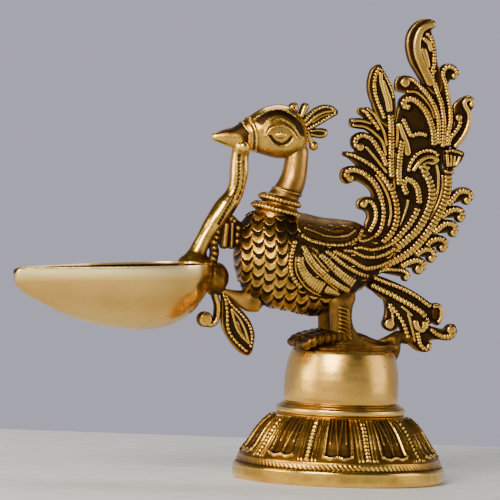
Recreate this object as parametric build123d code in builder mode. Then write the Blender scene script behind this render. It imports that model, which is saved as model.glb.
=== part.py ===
"""Standing brass peacock oil lamp, as an assembly of separate castings.

Millimetres. The origin is the centre of the foot, on the surface the lamp stands on,
with +Z up. The bird faces -X and holds the stalk of the oil bowl in its beak, and its
tail rises towards +X. The plane Y = 0 divides the lamp into two mirrored halves.
"""
import os

from build123d import *

os.makedirs("parts", exist_ok=True)

# Driving dimensions
foot_radius = 36.5
foot_mouth_radius = 33.2
foot_band_height = 5.2
bell_top = 23.0
bell_top_radius = 22.4
bell_roof_radius = 20.6
bell_wall = 2.4
petal_count = 10
petal_relief = 0.8
collar_top = 26.6
drum_radius = 19.7
drum_bore_radius = 15.2
drum_foot_radius = 19.3
drum_face_radius = 16.8
drum_top = 45.0
drum_wall = 2.4
spigot_radius = 12.0
spigot_length = 5.4
stud_radius = 2.5
stud_length = 10.4
nut_across_flats = 8.0
nut_height = 3.0
foot_plate_thickness = 2.4
leg_spacing = 15.0
skin_relief = 1.3
collar_tilt = 13.1
plate_depth = 3.0
strand_depth = 5.2
strand_width = 2.6
bowl_wall = 1.7
bowl_rim_rear = 73.2
bowl_rim_slope = 0.05

# Stations along the body: x, height of the middle, half width, half height
body_stations = [
    (-38.5, 76.5, 4.0, 3.5),
    (-36.0, 76.0, 8.5, 9.0),
    (-32.0, 75.5, 11.5, 13.5),
    (-26.0, 75.3, 13.5, 16.0),
    (-18.0, 74.2, 14.0, 16.2),
    (-10.0, 73.5, 13.0, 15.7),
    (-2.0, 74.5, 10.5, 13.5),
    (4.0, 76.0, 8.0, 10.5),
    (7.0, 76.0, 6.0, 8.0),
]

# Stations along the oil bowl: x, half width at the rim, depth below the rim
bowl_stations = [
    (-116.4, 3.2, 4.6),
    (-114.5, 4.6, 7.1),
    (-111.0, 6.0, 9.7),
    (-105.0, 8.6, 12.9),
    (-97.0, 12.4, 16.7),
    (-88.0, 16.2, 19.8),
    (-78.0, 19.2, 21.6),
    (-69.0, 20.2, 22.1),
    (-62.0, 19.2, 20.7),
    (-57.0, 17.0, 18.1),
    (-53.0, 13.6, 15.0),
    (-50.0, 9.2, 10.8),
    (-48.6, 5.5, 7.2),
]


def loft_ellipses(stations, mode=Mode.ADD):
    """Loft through upright ellipses across X: x, middle z, half width, half height."""
    sections = []
    for x, z_middle, half_width, half_height in stations:
        with BuildSketch(Plane.YZ.offset(x)) as section:
            with Locations((0, z_middle)):
                Ellipse(half_width, half_height)
        sections.append(section.sketch)
    loft(sections, mode=mode)


def loft_rounds(stations, y_middle=0.0):
    """Loft through level ellipses stacked in Z: z, middle x, half length, half width."""
    sections = []
    for z, x_middle, half_length, half_width in stations:
        with BuildSketch(Plane.XY.offset(z)) as section:
            with Locations((x_middle, y_middle)):
                Ellipse(half_length, half_width)
        sections.append(section.sketch)
    loft(sections)


def cast_plate(outline, depth):
    """A flat plate in the middle plane, with a smooth closed outline of (x, z) points."""
    with BuildSketch(Plane.XZ) as shape:
        with BuildLine():
            Spline(*outline, periodic=True)
        make_face()
    extrude(shape.sketch, amount=depth / 2, both=True)


def cast_strands(paths, width=strand_width, depth=strand_depth):
    """Raised strands along smooth (x, z) paths, each with a round knob on its first end."""
    for path in paths:
        with BuildSketch(Plane.XZ) as stroke:
            with BuildLine() as line:
                Spline(*path)
            trace(line.line, line_width=width)
            with Locations(path[0]):
                Circle(0.62 * width)
        extrude(stroke.sketch, amount=depth / 2, both=True)


def clear_of(*neighbours):
    """Cut the piece back to the faces of the pieces that it is seated on."""
    for neighbour in neighbours:
        add(neighbour.part, mode=Mode.SUBTRACT)


def bell_curve(offset=0.0):
    """The flared outer line of the bell, from above the foot band to its top."""
    Spline(
        (35.3 + offset, 7.8),
        (32.8 + offset, 10.4),
        (29.6 + offset, 15.0),
        (26.4 + offset, 19.4),
        (bell_top_radius + offset, bell_top),
    )


# Pedestal: the bell-shaped lotus foot, its collar ring and the drum

with BuildPart() as lotus_petals:
    for turn in range(petal_count):
        facing = Plane.YZ.rotated((0, 0, 360 * (turn + 0.1) / petal_count))
        with BuildSketch(facing):
            with BuildLine():
                Line((-2.6, bell_top), (2.6, bell_top))
                Spline((2.6, bell_top), (3.6, 16.0), (5.0, 11.5), (2.6, 9.2))
                Line((2.6, 9.2), (-2.6, 9.2))
                Spline((-2.6, 9.2), (-5.0, 11.5), (-3.6, 16.0), (-2.6, bell_top))
            make_face()
        extrude(amount=foot_radius)
    with BuildSketch(Plane.XZ):
        with BuildLine():
            bell_curve(petal_relief)
            Line((35.3 + petal_relief, 7.8), (35.3 - petal_relief, 7.8))
            bell_curve(-petal_relief)
            Line((bell_top_radius - petal_relief, bell_top), (bell_top_radius + petal_relief, bell_top))
        make_face()
    revolve(axis=Axis.Z, mode=Mode.INTERSECT)

with BuildPart() as lotus_base:
    with BuildSketch(Plane.XZ):
        with BuildLine():
            Line((foot_mouth_radius, 0), (foot_radius - 0.6, 0))
            Line((foot_radius - 0.6, 0), (foot_radius, 0.8))
            Line((foot_radius, 0.8), (foot_radius, foot_band_height))
            Line((foot_radius, foot_band_height), (35.6, foot_band_height + 0.5))
            Line((35.6, foot_band_height + 0.5), (35.3, 7.8))
            bell_curve()
            Line((bell_top_radius, bell_top), (spigot_radius, bell_top))
            Line((spigot_radius, bell_top), (spigot_radius, bell_top - bell_wall))
            Line((spigot_radius, bell_top - bell_wall), (bell_roof_radius, bell_top - bell_wall))
            Spline((bell_roof_radius, bell_top - bell_wall), (24.4, 17.6), (27.6, 13.2), (31.2, 8.4), (foot_mouth_radius, 4))
            Line((foot_mouth_radius, 4), (foot_mouth_radius, 0))
        make_face()
    revolve(axis=Axis.Z)
    add(lotus_petals.part)

with BuildPart() as collar_ring:
    with BuildSketch(Plane.XZ):
        with BuildLine():
            Line((spigot_radius, bell_top), (22.0, bell_top))
            ThreePointArc((22.0, bell_top), (22.3, 24.6), (20.4, collar_top))
            Line((20.4, collar_top), (spigot_radius, collar_top))
            Line((spigot_radius, collar_top), (spigot_radius, bell_top))
        make_face()
    revolve(axis=Axis.Z)

with BuildPart() as drum:
    with BuildSketch(Plane.XZ):
        with BuildLine():
            Line((0, drum_top), (drum_face_radius, drum_top))
            ThreePointArc((drum_face_radius, drum_top), (17.5, 44.7), (17.9, 44.0))
            Spline((17.9, 44.0), (18.9, 40.0), (19.6, 35.0), (drum_radius, 31.0), (drum_foot_radius, collar_top))
            Line((drum_foot_radius, collar_top), (0, collar_top))
            Line((0, collar_top), (0, drum_top))
        make_face()
    revolve(axis=Axis.Z)
    with Locations((0, 0, collar_top)):
        Cylinder(spigot_radius, spigot_length, align=(Align.CENTER, Align.CENTER, Align.MAX))
    with Locations((0, 0, collar_top + drum_wall)):
        Cylinder(
            drum_bore_radius,
            drum_top - collar_top - 2 * drum_wall,
            align=(Align.CENTER, Align.CENTER, Align.MIN),
            mode=Mode.SUBTRACT,
        )
    with Locations((0, 0, collar_top - spigot_length)):
        Cylinder(
            spigot_radius - drum_wall,
            spigot_length + drum_wall,
            align=(Align.CENTER, Align.CENTER, Align.MIN),
            mode=Mode.SUBTRACT,
        )
    with Locations((0, 0, drum_top)):
        Cylinder(stud_radius, 2 * drum_wall, mode=Mode.SUBTRACT)

# Fixing: the stud that holds the bird's foot plate on the drum, and its nut inside

plate_top = drum_top + foot_plate_thickness
stud_top = drum_top + foot_plate_thickness / 2

with BuildPart() as mounting_stud:
    with Locations((0, 0, stud_top)):
        Cylinder(stud_radius, stud_length, align=(Align.CENTER, Align.CENTER, Align.MAX))
    chamfer(mounting_stud.edges().sort_by(Axis.Z)[0], 0.5)

with BuildPart() as mounting_nut:
    with BuildSketch(Plane.XY.offset(drum_top - drum_wall)):
        RegularPolygon(nut_across_flats / 2, 6, major_radius=False)
        Circle(stud_radius, mode=Mode.SUBTRACT)
    extrude(amount=-nut_height)

# The bird: body, legs, wings, neck and head

with BuildPart() as foot_plate:
    with BuildSketch(Plane.XY.offset(drum_top)):
        with Locations((0.5, 0)):
            Ellipse(16.2, 11.0)
    extrude(amount=foot_plate_thickness, taper=12)
    with BuildSketch(Plane.XY.offset(plate_top)):
        for side in (-1, 1):
            for spread in (-24, 0, 24):
                with Locations(Location((-8.5, side * leg_spacing / 2 + spread / 12, 0), spread)):
                    SlotOverall(13.0, 3.0)
    extrude(amount=1.4, taper=15)
    clear_of(mounting_stud)

with BuildPart() as body:
    loft_ellipses(body_stations)

leg_stations = [
    (plate_top - 0.6, -2.0, 5.4, 4.2),
    (49.6, -2.6, 3.8, 3.3),
    (53.5, -2.9, 3.2, 2.9),
    (58.0, -3.2, 3.8, 3.2),
    (68.0, -3.4, 5.0, 3.8),
]

with BuildPart() as left_leg:
    loft_rounds(leg_stations, -leg_spacing / 2)
    clear_of(foot_plate, body)

with BuildPart() as right_leg:
    mirror(left_leg.part, about=Plane.XZ)

wing_outline = [
    (-18.0, 84.5),
    (-20.6, 77.0),
    (-19.8, 70.0),
    (-15.0, 65.2),
    (-8.0, 63.8),
    (-1.0, 64.0),
    (4.0, 66.5),
    (2.0, 71.0),
    (-4.0, 76.5),
    (-11.0, 81.5),
]

saddle_outline = [
    (-17.0, 88.0),
    (-15.5, 84.9),
    (-9.0, 82.0),
    (-2.0, 81.4),
    (3.5, 84.0),
    (5.5, 88.0),
    (0.0, 93.0),
    (-12.0, 94.0),
]

with BuildPart() as feather_skin:
    loft_ellipses(
        [(x, z, half_width + skin_relief, half_height + skin_relief)
         for x, z, half_width, half_height in body_stations]
    )

with BuildPart() as left_wing:
    with BuildSketch(Plane.XZ.offset(2.0)):
        with BuildLine():
            Spline(*wing_outline, periodic=True)
        make_face()
    extrude(amount=20.0)
    add(feather_skin.part, mode=Mode.INTERSECT)
    clear_of(body, left_leg)

with BuildPart() as right_wing:
    mirror(left_wing.part, about=Plane.XZ)

with BuildPart() as back_saddle:
    cast_plate(saddle_outline, 40.0)
    add(feather_skin.part, mode=Mode.INTERSECT)
    clear_of(body, left_wing, right_wing)

with BuildPart() as head:
    loft_ellipses([
        (-37.0, 117.9, 4.2, 5.6),
        (-33.0, 119.0, 5.6, 7.4),
        (-28.0, 119.3, 6.5, 9.3),
        (-24.0, 119.2, 6.8, 9.5),
        (-20.0, 118.8, 6.2, 8.3),
        (-17.0, 117.8, 4.6, 6.0),
        (-15.4, 117.0, 2.6, 3.2),
    ])

with BuildPart() as neck:
    loft_rounds([
        (86.0, -27.0, 8.6, 8.4),
        (89.0, -26.4, 7.8, 7.6),
        (92.4, -25.6, 7.0, 6.8),
        (95.6, -24.4, 6.0, 5.8),
        (99.0, -21.9, 5.3, 5.0),
        (104.5, -19.6, 4.4, 4.2),
        (112.0, -19.2, 3.8, 3.7),
    ])
    clear_of(body, head)


def neck_ring(x, z, outer_radius, thickness):
    """A round collar band about the neck, tilted with it."""
    tilted = Plane(Location((x, 0, z), (0, collar_tilt, 0)))
    with Locations(tilted):
        Torus(outer_radius - thickness / 2, thickness / 2)


with BuildPart() as neck_ring_upper:
    neck_ring(-24.5, 95.6, 7.3, 2.8)
    clear_of(neck)

with BuildPart() as neck_ring_lower:
    neck_ring(-25.7, 92.3, 8.5, 3.0)
    clear_of(neck, neck_ring_upper, body)

with BuildPart() as left_eye:
    with BuildSketch(Plane.XZ.offset(4.0)):
        with Locations((-25.2, 118.1)):
            Ellipse(4.9, 3.3)
    extrude(amount=3.9)
    clear_of(head)

with BuildPart() as right_eye:
    mirror(left_eye.part, about=Plane.XZ)

with BuildPart() as beak:
    loft_ellipses([
        (-36.2, 118.0, 4.4, 5.6),
        (-39.0, 117.4, 3.6, 4.6),
        (-42.0, 116.7, 2.9, 3.5),
        (-46.0, 116.6, 2.0, 2.3),
        (-49.2, 116.6, 0.8, 0.8),
    ])
    clear_of(head)

with BuildPart() as crest:
    cast_plate(
        [(-18.4, 124.0), (-14.8, 127.8), (-10.0, 129.0), (-5.2, 126.8), (-10.5, 122.9), (-17.0, 119.8)],
        3.4,
    )
    cast_plate([(-17.5, 121.0), (-12.0, 120.7), (-8.2, 119.3), (-12.0, 117.4), (-17.5, 116.8)], 3.0)
    with Locations((-20.6, 0, 127.9), (-16.7, 0, 127.6)):
        Sphere(2.0)
    with Locations((-13.4, 0, 114.8)):
        Sphere(1.9)
    with Locations(Location((-13.4, 0, 114.8), (0, -90, 0))):
        Cylinder(1.0, 6.0, align=(Align.CENTER, Align.CENTER, Align.MIN))
    clear_of(head)

# The oil bowl and what carries it: stalk, clasp, boss, strut and pendants


def loft_bowl(inset, headroom):
    """Loft the bowl's form, inset from its outer face, up to above its sloping rim."""
    stations = bowl_stations[1:-1] if inset else bowl_stations
    sections = []
    for x, half_width, depth in stations:
        rim = bowl_rim_rear + bowl_rim_slope * (x + 50.0)
        half = half_width - inset
        with BuildSketch(Plane.YZ.offset(x)) as section:
            with BuildLine():
                EllipticalCenterArc((0, rim), half, depth - inset, start_angle=180, arc_size=180)
                Line((half, rim), (half, rim + headroom))
                Line((half, rim + headroom), (-half, rim + headroom))
                Line((-half, rim + headroom), (-half, rim))
            make_face()
        sections.append(section.sketch)
    loft(sections, mode=Mode.SUBTRACT if inset else Mode.ADD)


with BuildPart() as bowl_form:
    loft_bowl(0.0, 0.4)

with BuildPart() as oil_bowl:
    add(bowl_form.part)
    loft_bowl(bowl_wall, 3.0)

with BuildPart() as stalk:
    loft_rounds([
        (74.6, -52.4, 5.4, 4.6),
        (77.5, -51.6, 3.7, 3.7),
        (82.0, -49.4, 3.2, 3.4),
        (88.0, -46.2, 3.3, 3.3),
        (93.0, -42.9, 3.5, 3.2),
        (98.5, -40.2, 3.0, 3.0),
        (105.0, -39.2, 3.3, 3.1),
        (110.0, -39.2, 3.2, 3.0),
        (116.0, -38.6, 2.6, 2.6),
    ])
    with Locations((-52.0, 0, 73.6)):
        Cylinder(4.6, 2.4)
    clear_of(beak, head, bowl_form)

with BuildPart() as bowl_boss:
    loft_rounds([
        (62.6, -46.6, 2.2, 2.2),
        (64.4, -46.5, 3.9, 3.6),
        (68.4, -46.4, 4.6, 4.4),
        (72.2, -46.8, 3.8, 3.8),
        (74.4, -47.8, 2.2, 2.4),
    ])
    clear_of(bowl_form, stalk)

with BuildPart() as stalk_clasp:
    cast_plate(
        [(-45.2, 88.4), (-40.0, 87.6), (-36.8, 86.8), (-38.0, 79.0), (-42.6, 79.0), (-44.8, 76.0),
         (-45.2, 72.4), (-48.6, 72.6), (-48.6, 78.0), (-46.6, 84.0)],
        5.6,
    )
    clear_of(body, stalk, bowl_boss, bowl_form)

with BuildPart() as breast_strut:
    loft_ellipses([
        (-45.0, 64.2, 2.0, 1.2),
        (-42.0, 63.6, 2.2, 1.4),
        (-38.0, 61.8, 2.8, 2.4),
        (-33.0, 60.6, 3.8, 3.8),
        (-28.0, 63.0, 4.4, 4.4),
    ])
    clear_of(body, bowl_boss)

with BuildPart() as leaf_pendant:
    cast_plate(
        [(-44.4, 64.6), (-44.0, 58.0), (-43.6, 52.0), (-39.6, 45.2), (-33.4, 42.1), (-31.8, 48.4),
         (-34.6, 55.4), (-39.6, 61.2)],
        3.2,
    )
    clear_of(bowl_boss, breast_strut)

with BuildPart() as scroll_pendant:
    cast_strands([[(-49.6, 54.2), (-48.4, 52.2), (-46.0, 52.8), (-45.3, 56.0), (-45.9, 60.5), (-47.4, 64.6)]])
    with Locations((-49.6, 0, 54.0)):
        Sphere(2.4)
    clear_of(bowl_boss, leaf_pendant, oil_bowl)

# The tail: a fan of strands in the middle plane, with plumes, scrolls and a lower spray

fan_outline = [
    (5.0, 67.0), (13.0, 70.4), (21.0, 69.6), (27.0, 74.0), (32.0, 80.5), (35.5, 87.5), (37.0, 96.0),
    (36.6, 106.0), (36.6, 118.0), (36.0, 126.0), (33.6, 132.0), (30.0, 135.0), (24.0, 132.4),
    (18.0, 127.0), (13.4, 121.0), (10.4, 114.0), (9.6, 108.0), (10.6, 102.0), (9.6, 94.0),
    (6.6, 88.0), (2.4, 84.0), (2.0, 76.0),
]

fan_strands = [
    [(12.0, 74.5), (21.0, 79.0), (27.5, 85.5), (31.5, 91.0), (34.8, 98.0), (35.2, 106.0)],
    [(13.0, 79.0), (21.0, 84.0), (26.5, 89.0), (29.3, 96.0), (29.2, 103.0), (27.6, 110.0)],
    [(20.0, 107.0), (23.0, 113.0), (28.5, 114.8), (32.0, 111.5)],
    [(20.5, 99.2), (18.8, 103.0), (22.0, 104.4), (24.9, 98.0), (22.8, 91.5), (17.0, 85.0)],
    [(6.0, 80.0), (14.0, 84.0), (17.5, 91.0), (15.5, 99.5), (14.2, 110.0), (13.8, 121.0)],
    [(18.2, 125.0), (21.5, 119.8), (18.0, 112.0), (17.6, 104.0)],
]

with BuildPart() as tail_fan:
    cast_plate(fan_outline, plate_depth)
    cast_strands(fan_strands)
    clear_of(body, back_saddle, left_wing, right_wing)

with BuildPart() as tail_leaf_plume:
    cast_plate(
        [(9.0, 143.6), (5.6, 139.6), (5.6, 134.0), (7.6, 128.0), (9.6, 120.0), (14.4, 119.0), (15.4, 130.0),
         (14.4, 135.4), (11.4, 140.4)],
        strand_depth,
    )
    clear_of(tail_fan)

with BuildPart() as tail_top_plume:
    cast_plate(
        [(27.0, 134.0), (23.0, 140.5), (18.8, 149.0), (20.2, 156.6), (26.0, 160.0), (28.2, 157.4),
         (28.6, 152.0), (30.2, 144.0), (30.4, 134.0)],
        strand_depth,
    )
    clear_of(tail_fan)

with BuildPart() as tail_upper_scrolls:
    cast_strands([
        [(35.6, 140.2), (36.8, 142.6), (34.2, 144.2), (32.2, 141.6), (34.0, 132.0), (35.2, 124.0)],
        [(18.2, 137.8), (21.6, 138.0), (26.0, 133.5), (30.0, 126.0)],
    ])
    clear_of(tail_fan, tail_top_plume, tail_leaf_plume)

with BuildPart() as tail_left_leaves:
    cast_plate([(2.2, 128.2), (5.0, 128.4), (9.0, 125.4), (12.0, 121.0), (10.0, 119.4), (6.0, 123.4)], 3.6)
    cast_plate([(-0.8, 123.6), (3.0, 124.8), (8.0, 122.6), (12.0, 116.0), (9.0, 115.4), (4.0, 120.6)], 4.2)
    clear_of(tail_fan, tail_leaf_plume)

with BuildPart() as tail_left_scrolls:
    cast_strands(
        [
            [(3.6, 114.8), (1.4, 115.6), (2.4, 118.2), (6.0, 118.2), (9.4, 114.6), (12.0, 109.0)],
            [(-1.2, 112.6), (5.0, 109.7), (11.0, 105.5), (15.0, 100.0)],
            [(0.2, 104.0), (-1.5, 105.4), (0.4, 107.0), (5.0, 105.2), (10.0, 100.0), (12.2, 93.0)],
            [(4.8, 95.2), (7.4, 96.4), (9.6, 92.6), (9.0, 88.0), (6.0, 84.6)],
        ],
        width=3.2,
        depth=4.6,
    )
    clear_of(tail_fan, tail_left_leaves)

with BuildPart() as tail_cuff:
    cast_plate(
        [(33.4, 114.8), (37.0, 115.6), (40.6, 114.4), (39.4, 110.6), (37.0, 107.6), (36.8, 103.0), (33.4, 103.0),
         (33.6, 109.0)],
        6.0,
    )
    clear_of(tail_fan)

with BuildPart() as tail_right_scrolls:
    cast_strands([
        [(38.4, 126.0), (38.2, 123.4), (35.6, 117.6)],
        [(42.8, 130.6), (43.2, 132.2), (40.8, 133.0), (39.2, 130.6), (41.4, 127.0), (41.2, 122.0), (37.4, 116.0)],
    ])
    clear_of(tail_fan, tail_cuff, tail_upper_scrolls)

# The scrolls on the tail's rear edge: knob, crown and root of each
edge_scrolls = [
    [(42.0, 97.8), (42.2, 100.6), (36.4, 98.6)],
    [(40.0, 91.8), (40.0, 94.2), (34.8, 92.6)],
    [(37.2, 86.4), (37.4, 89.2), (32.4, 87.2)],
    [(34.0, 81.4), (34.2, 84.0), (29.4, 82.0)],
    [(30.2, 77.2), (30.2, 80.0), (25.8, 78.6)],
    [(25.6, 73.6), (26.2, 76.2), (21.2, 75.0)],
    [(20.6, 70.6), (20.6, 72.8), (15.0, 72.0)],
]

with BuildPart() as tail_edge_scrolls:
    for knob, crown, root in edge_scrolls:
        with BuildSketch(Plane.XZ) as hook:
            with BuildLine() as bend:
                ThreePointArc(knob, crown, root)
            trace(bend.line, line_width=2.4)
            with Locations(knob):
                Circle(1.7)
        extrude(hook.sketch, amount=strand_depth / 2, both=True)
    clear_of(tail_fan)

with BuildPart() as tail_spray:
    cast_plate(
        [(5.0, 69.0), (13.0, 70.0), (24.0, 65.8), (30.6, 61.2), (30.2, 53.0), (27.6, 47.2), (22.4, 48.6),
         (16.4, 52.6), (14.8, 58.0), (13.4, 62.4)],
        plate_depth,
    )
    cast_strands([
        [(34.2, 55.6), (34.6, 59.2), (31.0, 60.6), (20.5, 66.3), (10.0, 69.6)],
        [(25.8, 55.2), (26.6, 52.2), (29.2, 54.0), (27.5, 58.3), (17.0, 64.3), (9.0, 68.0)],
        [(16.0, 54.0), (17.6, 57.0), (16.0, 61.0)],
        [(38.4, 52.8), (38.9, 51.0), (36.6, 50.0), (33.0, 50.8), (29.0, 52.6)],
        [(30.6, 47.0), (29.0, 46.0), (27.2, 47.8), (26.4, 52.0)],
    ])
    clear_of(tail_fan, tail_edge_scrolls, body, left_wing, right_wing)

with BuildPart() as tail_brace:
    cast_plate(
        [(13.8, 47.0), (16.6, 49.4), (20.4, 52.0), (24.0, 50.6), (24.4, 47.4), (20.4, 46.2), (19.0, 42.2),
         (16.6, 42.6)],
        5.6,
    )
    clear_of(drum, foot_plate, tail_spray)

pieces = {
    "lotus_base": lotus_base,
    "collar_ring": collar_ring,
    "drum": drum,
    "mounting_stud": mounting_stud,
    "mounting_nut": mounting_nut,
    "foot_plate": foot_plate,
    "body": body,
    "left_leg": left_leg,
    "right_leg": right_leg,
    "left_wing": left_wing,
    "right_wing": right_wing,
    "back_saddle": back_saddle,
    "neck": neck,
    "neck_ring_upper": neck_ring_upper,
    "neck_ring_lower": neck_ring_lower,
    "head": head,
    "left_eye": left_eye,
    "right_eye": right_eye,
    "beak": beak,
    "crest": crest,
    "oil_bowl": oil_bowl,
    "stalk": stalk,
    "bowl_boss": bowl_boss,
    "stalk_clasp": stalk_clasp,
    "breast_strut": breast_strut,
    "leaf_pendant": leaf_pendant,
    "scroll_pendant": scroll_pendant,
    "tail_fan": tail_fan,
    "tail_leaf_plume": tail_leaf_plume,
    "tail_top_plume": tail_top_plume,
    "tail_upper_scrolls": tail_upper_scrolls,
    "tail_left_leaves": tail_left_leaves,
    "tail_left_scrolls": tail_left_scrolls,
    "tail_cuff": tail_cuff,
    "tail_right_scrolls": tail_right_scrolls,
    "tail_edge_scrolls": tail_edge_scrolls,
    "tail_spray": tail_spray,
    "tail_brace": tail_brace,
}

for name, piece in pieces.items():
    piece.part.label = name
    export_step(piece.part, f"parts/{name}.step")
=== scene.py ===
import math

import bpy
import numpy as np
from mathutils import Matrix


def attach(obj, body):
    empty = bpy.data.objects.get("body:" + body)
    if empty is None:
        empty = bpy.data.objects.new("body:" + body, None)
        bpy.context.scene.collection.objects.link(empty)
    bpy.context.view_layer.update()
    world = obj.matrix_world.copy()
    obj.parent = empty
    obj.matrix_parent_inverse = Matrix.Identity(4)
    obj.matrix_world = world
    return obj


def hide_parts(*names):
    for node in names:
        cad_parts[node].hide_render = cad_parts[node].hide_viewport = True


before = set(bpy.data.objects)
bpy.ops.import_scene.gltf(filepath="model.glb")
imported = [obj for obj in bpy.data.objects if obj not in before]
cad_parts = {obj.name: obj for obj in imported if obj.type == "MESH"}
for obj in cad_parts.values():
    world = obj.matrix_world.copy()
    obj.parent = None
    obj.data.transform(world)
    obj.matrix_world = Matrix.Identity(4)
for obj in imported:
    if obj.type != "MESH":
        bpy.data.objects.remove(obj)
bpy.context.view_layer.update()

import openvdb
from mathutils import Matrix, Vector

# Sizes are in millimetres in the CAD model's frame, and MM turns them into metres. The camera, the
# lights and the floor are in metres.
MM = 0.001
# Spacings of the grids that the pieces are formed on
FINE = 0.25
SMOOTH = 0.3
# A distance that is farther than any strand reaches
FAR = 60.0
# The camera stands this far round from the lamp's side, towards the bowl. From there a point seems
# to move along x by VIEW_SLANT of its distance towards the camera.
VIEW_TURN = math.radians(15)
VIEW_SLANT = math.tan(VIEW_TURN)
CAMERA_DISTANCE, CAMERA_HEIGHT, CAMERA_ROLL = 1.5, 0.118, math.radians(2.1)
VIEW_CENTRE = (-0.0344, 0, 0.0783)
LAMP_CENTRE = (-0.03, 0, 0.08)
FLOOR_LENGTH, FLOOR_WIDTH, FLOOR_BEHIND = 3.0, 1.6, 0.19
scene = bpy.context.scene


# ---- Camera, floor and light -------------------------------------------------------------

# Each soft light: its name, place, size, power and colour
LIGHTS = [
    ("key", (-0.62, -0.74, 0.58), (0.5, 0.5), 15.0, (1, 0.93, 0.8)),
    ("side", (-0.95, -0.05, 0.3), (0.5, 0.5), 5.5, (1, 0.86, 0.6)),
    ("fill", (0.85, -0.36, 0.32), (0.6, 0.7), 3.0, (1, 0.93, 0.82)),
    ("top", (0.1, 0.45, 0.8), (0.5, 0.3), 2.5, (1, 1, 1)),
]
WALL = (0.465, 0.445, 0.545)
WHITE = (1, 1, 1)
NO_COLOR = (0, 0, 0)


def aim(obj, target, roll=0.0):
    """Turn an object's -Z axis towards a point, then roll it about that axis."""
    away = obj.location - Vector(target)
    turn = away.to_track_quat("Z", "Y").to_matrix().to_4x4()
    obj.rotation_euler = (turn @ Matrix.Rotation(roll, 4, "Z")).to_euler()


def make_camera():
    data = bpy.data.cameras.new("camera")
    camera = bpy.data.objects.new("camera", data)
    scene.collection.objects.link(camera)
    camera.location = (VIEW_CENTRE[0] - CAMERA_DISTANCE * math.sin(VIEW_TURN),
                       -CAMERA_DISTANCE * math.cos(VIEW_TURN), CAMERA_HEIGHT)
    aim(camera, VIEW_CENTRE, CAMERA_ROLL)
    data.lens = 315.2
    data.sensor_width = 36
    data.clip_start = 0.05
    scene.camera = camera


def make_room():
    """A room that is pale around the lamp and dark overhead."""
    world = bpy.data.worlds.new("studio")
    world.use_nodes = True
    tree = world.node_tree
    coords = tree.nodes.new("ShaderNodeTexCoord")
    split = tree.nodes.new("ShaderNodeSeparateXYZ")
    tree.links.new(coords.outputs["Generated"], split.inputs["Vector"])
    overhead = [(0.0, WALL), (0.16, WALL), (0.42, (0.1, 0.095, 0.09)), (1.0, (0.03, 0.03, 0.03))]
    sky = ramp_of(tree, split.outputs["Z"], overhead)
    tree.links.new(sky, tree.nodes["Background"].inputs["Color"])
    scene.world = world


def make_lights():
    for name, place, size, power, color in LIGHTS:
        data = bpy.data.lights.new(name, "AREA")
        data.shape = "RECTANGLE"
        data.size, data.size_y = size
        data.energy = power
        data.color = color
        light = bpy.data.objects.new(name, data)
        light.location = place
        scene.collection.objects.link(light)
        aim(light, LAMP_CENTRE)


def make_floor():
    """A plain pale floor that faces the camera and ends a little behind the lamp."""
    bpy.ops.mesh.primitive_plane_add(size=1)
    floor = bpy.context.object
    floor.name = "floor"
    turn = -VIEW_TURN
    floor.scale = (FLOOR_LENGTH, FLOOR_WIDTH, 1)
    floor.rotation_euler = (0, 0, turn)
    middle = FLOOR_BEHIND - FLOOR_WIDTH / 2
    floor.location = (middle * -math.sin(turn), middle * math.cos(turn), 0)
    paint = bpy.data.materials.new("floor")
    paint.use_nodes = True
    shader = paint.node_tree.nodes["Principled BSDF"]
    shader.inputs["Roughness"].default_value = 0.7
    ramp = noise_ramp(paint.node_tree, 260, [(0.3, (0.65, 0.675, 0.71)), (0.7, (0.79, 0.82, 0.86))])
    paint.node_tree.links.new(ramp, shader.inputs["Base Color"])
    floor.data.materials.append(paint)


# ---- Materials ---------------------------------------------------------------------------

def object_space(tree):
    return tree.nodes.new("ShaderNodeTexCoord").outputs["Object"]


def noise_of(tree, scale, detail=4.0):
    noise = tree.nodes.new("ShaderNodeTexNoise")
    noise.inputs["Scale"].default_value = scale
    noise.inputs["Detail"].default_value = detail
    tree.links.new(object_space(tree), noise.inputs["Vector"])
    return noise.outputs["Fac"]


def ramp_of(tree, value, stops):
    """Colours for a value, between stops of (value, colour)."""
    ramp = tree.nodes.new("ShaderNodeValToRGB")
    marks = ramp.color_ramp.elements
    while len(marks) < len(stops):
        marks.new(0.5)
    for mark, (place, color) in zip(marks, stops):
        mark.position = place
        mark.color = (*color, 1)
    tree.links.new(value, ramp.inputs["Fac"])
    return ramp.outputs["Color"]


def noise_ramp(tree, scale, stops):
    """A colour that wanders over the surface between stops of (value, colour)."""
    return ramp_of(tree, noise_of(tree, scale), stops)


def set_inputs(tree, sockets, values):
    """Give each socket a link, a colour or a number; None leaves it as it is."""
    for socket, value in zip(sockets, values):
        if isinstance(value, bpy.types.NodeSocket):
            tree.links.new(value, socket)
        elif isinstance(value, tuple):
            socket.default_value = (*value, 1)
        elif value is not None:
            socket.default_value = value


def blend_of(tree, kind, factor, first, second):
    mix = tree.nodes.new("ShaderNodeMix")
    mix.data_type = "RGBA"
    mix.blend_type = kind
    set_inputs(tree, (mix.inputs[0], mix.inputs[6], mix.inputs[7]), (factor, first, second))
    return mix.outputs[2]


def math_of(tree, kind, first, second=0.5, third=None, clamp=True):
    node = tree.nodes.new("ShaderNodeMath")
    node.operation = kind
    node.use_clamp = clamp
    set_inputs(tree, node.inputs, (first, second, third))
    return node.outputs[0]


def relief_of(tree):
    """The stored rubbing: 0 in a hollow and 1 on the crown of a bead or an edge."""
    relief = tree.nodes.new("ShaderNodeAttribute")
    relief.attribute_name = "relief"
    return relief.outputs["Fac"]


def metal(name):
    """A new metal material, its node tree and its shader."""
    paint = bpy.data.materials.new(name)
    paint.use_nodes = True
    shader = paint.node_tree.nodes["Principled BSDF"]
    shader.inputs["Metallic"].default_value = 1.0
    return paint, paint.node_tree, shader


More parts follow.
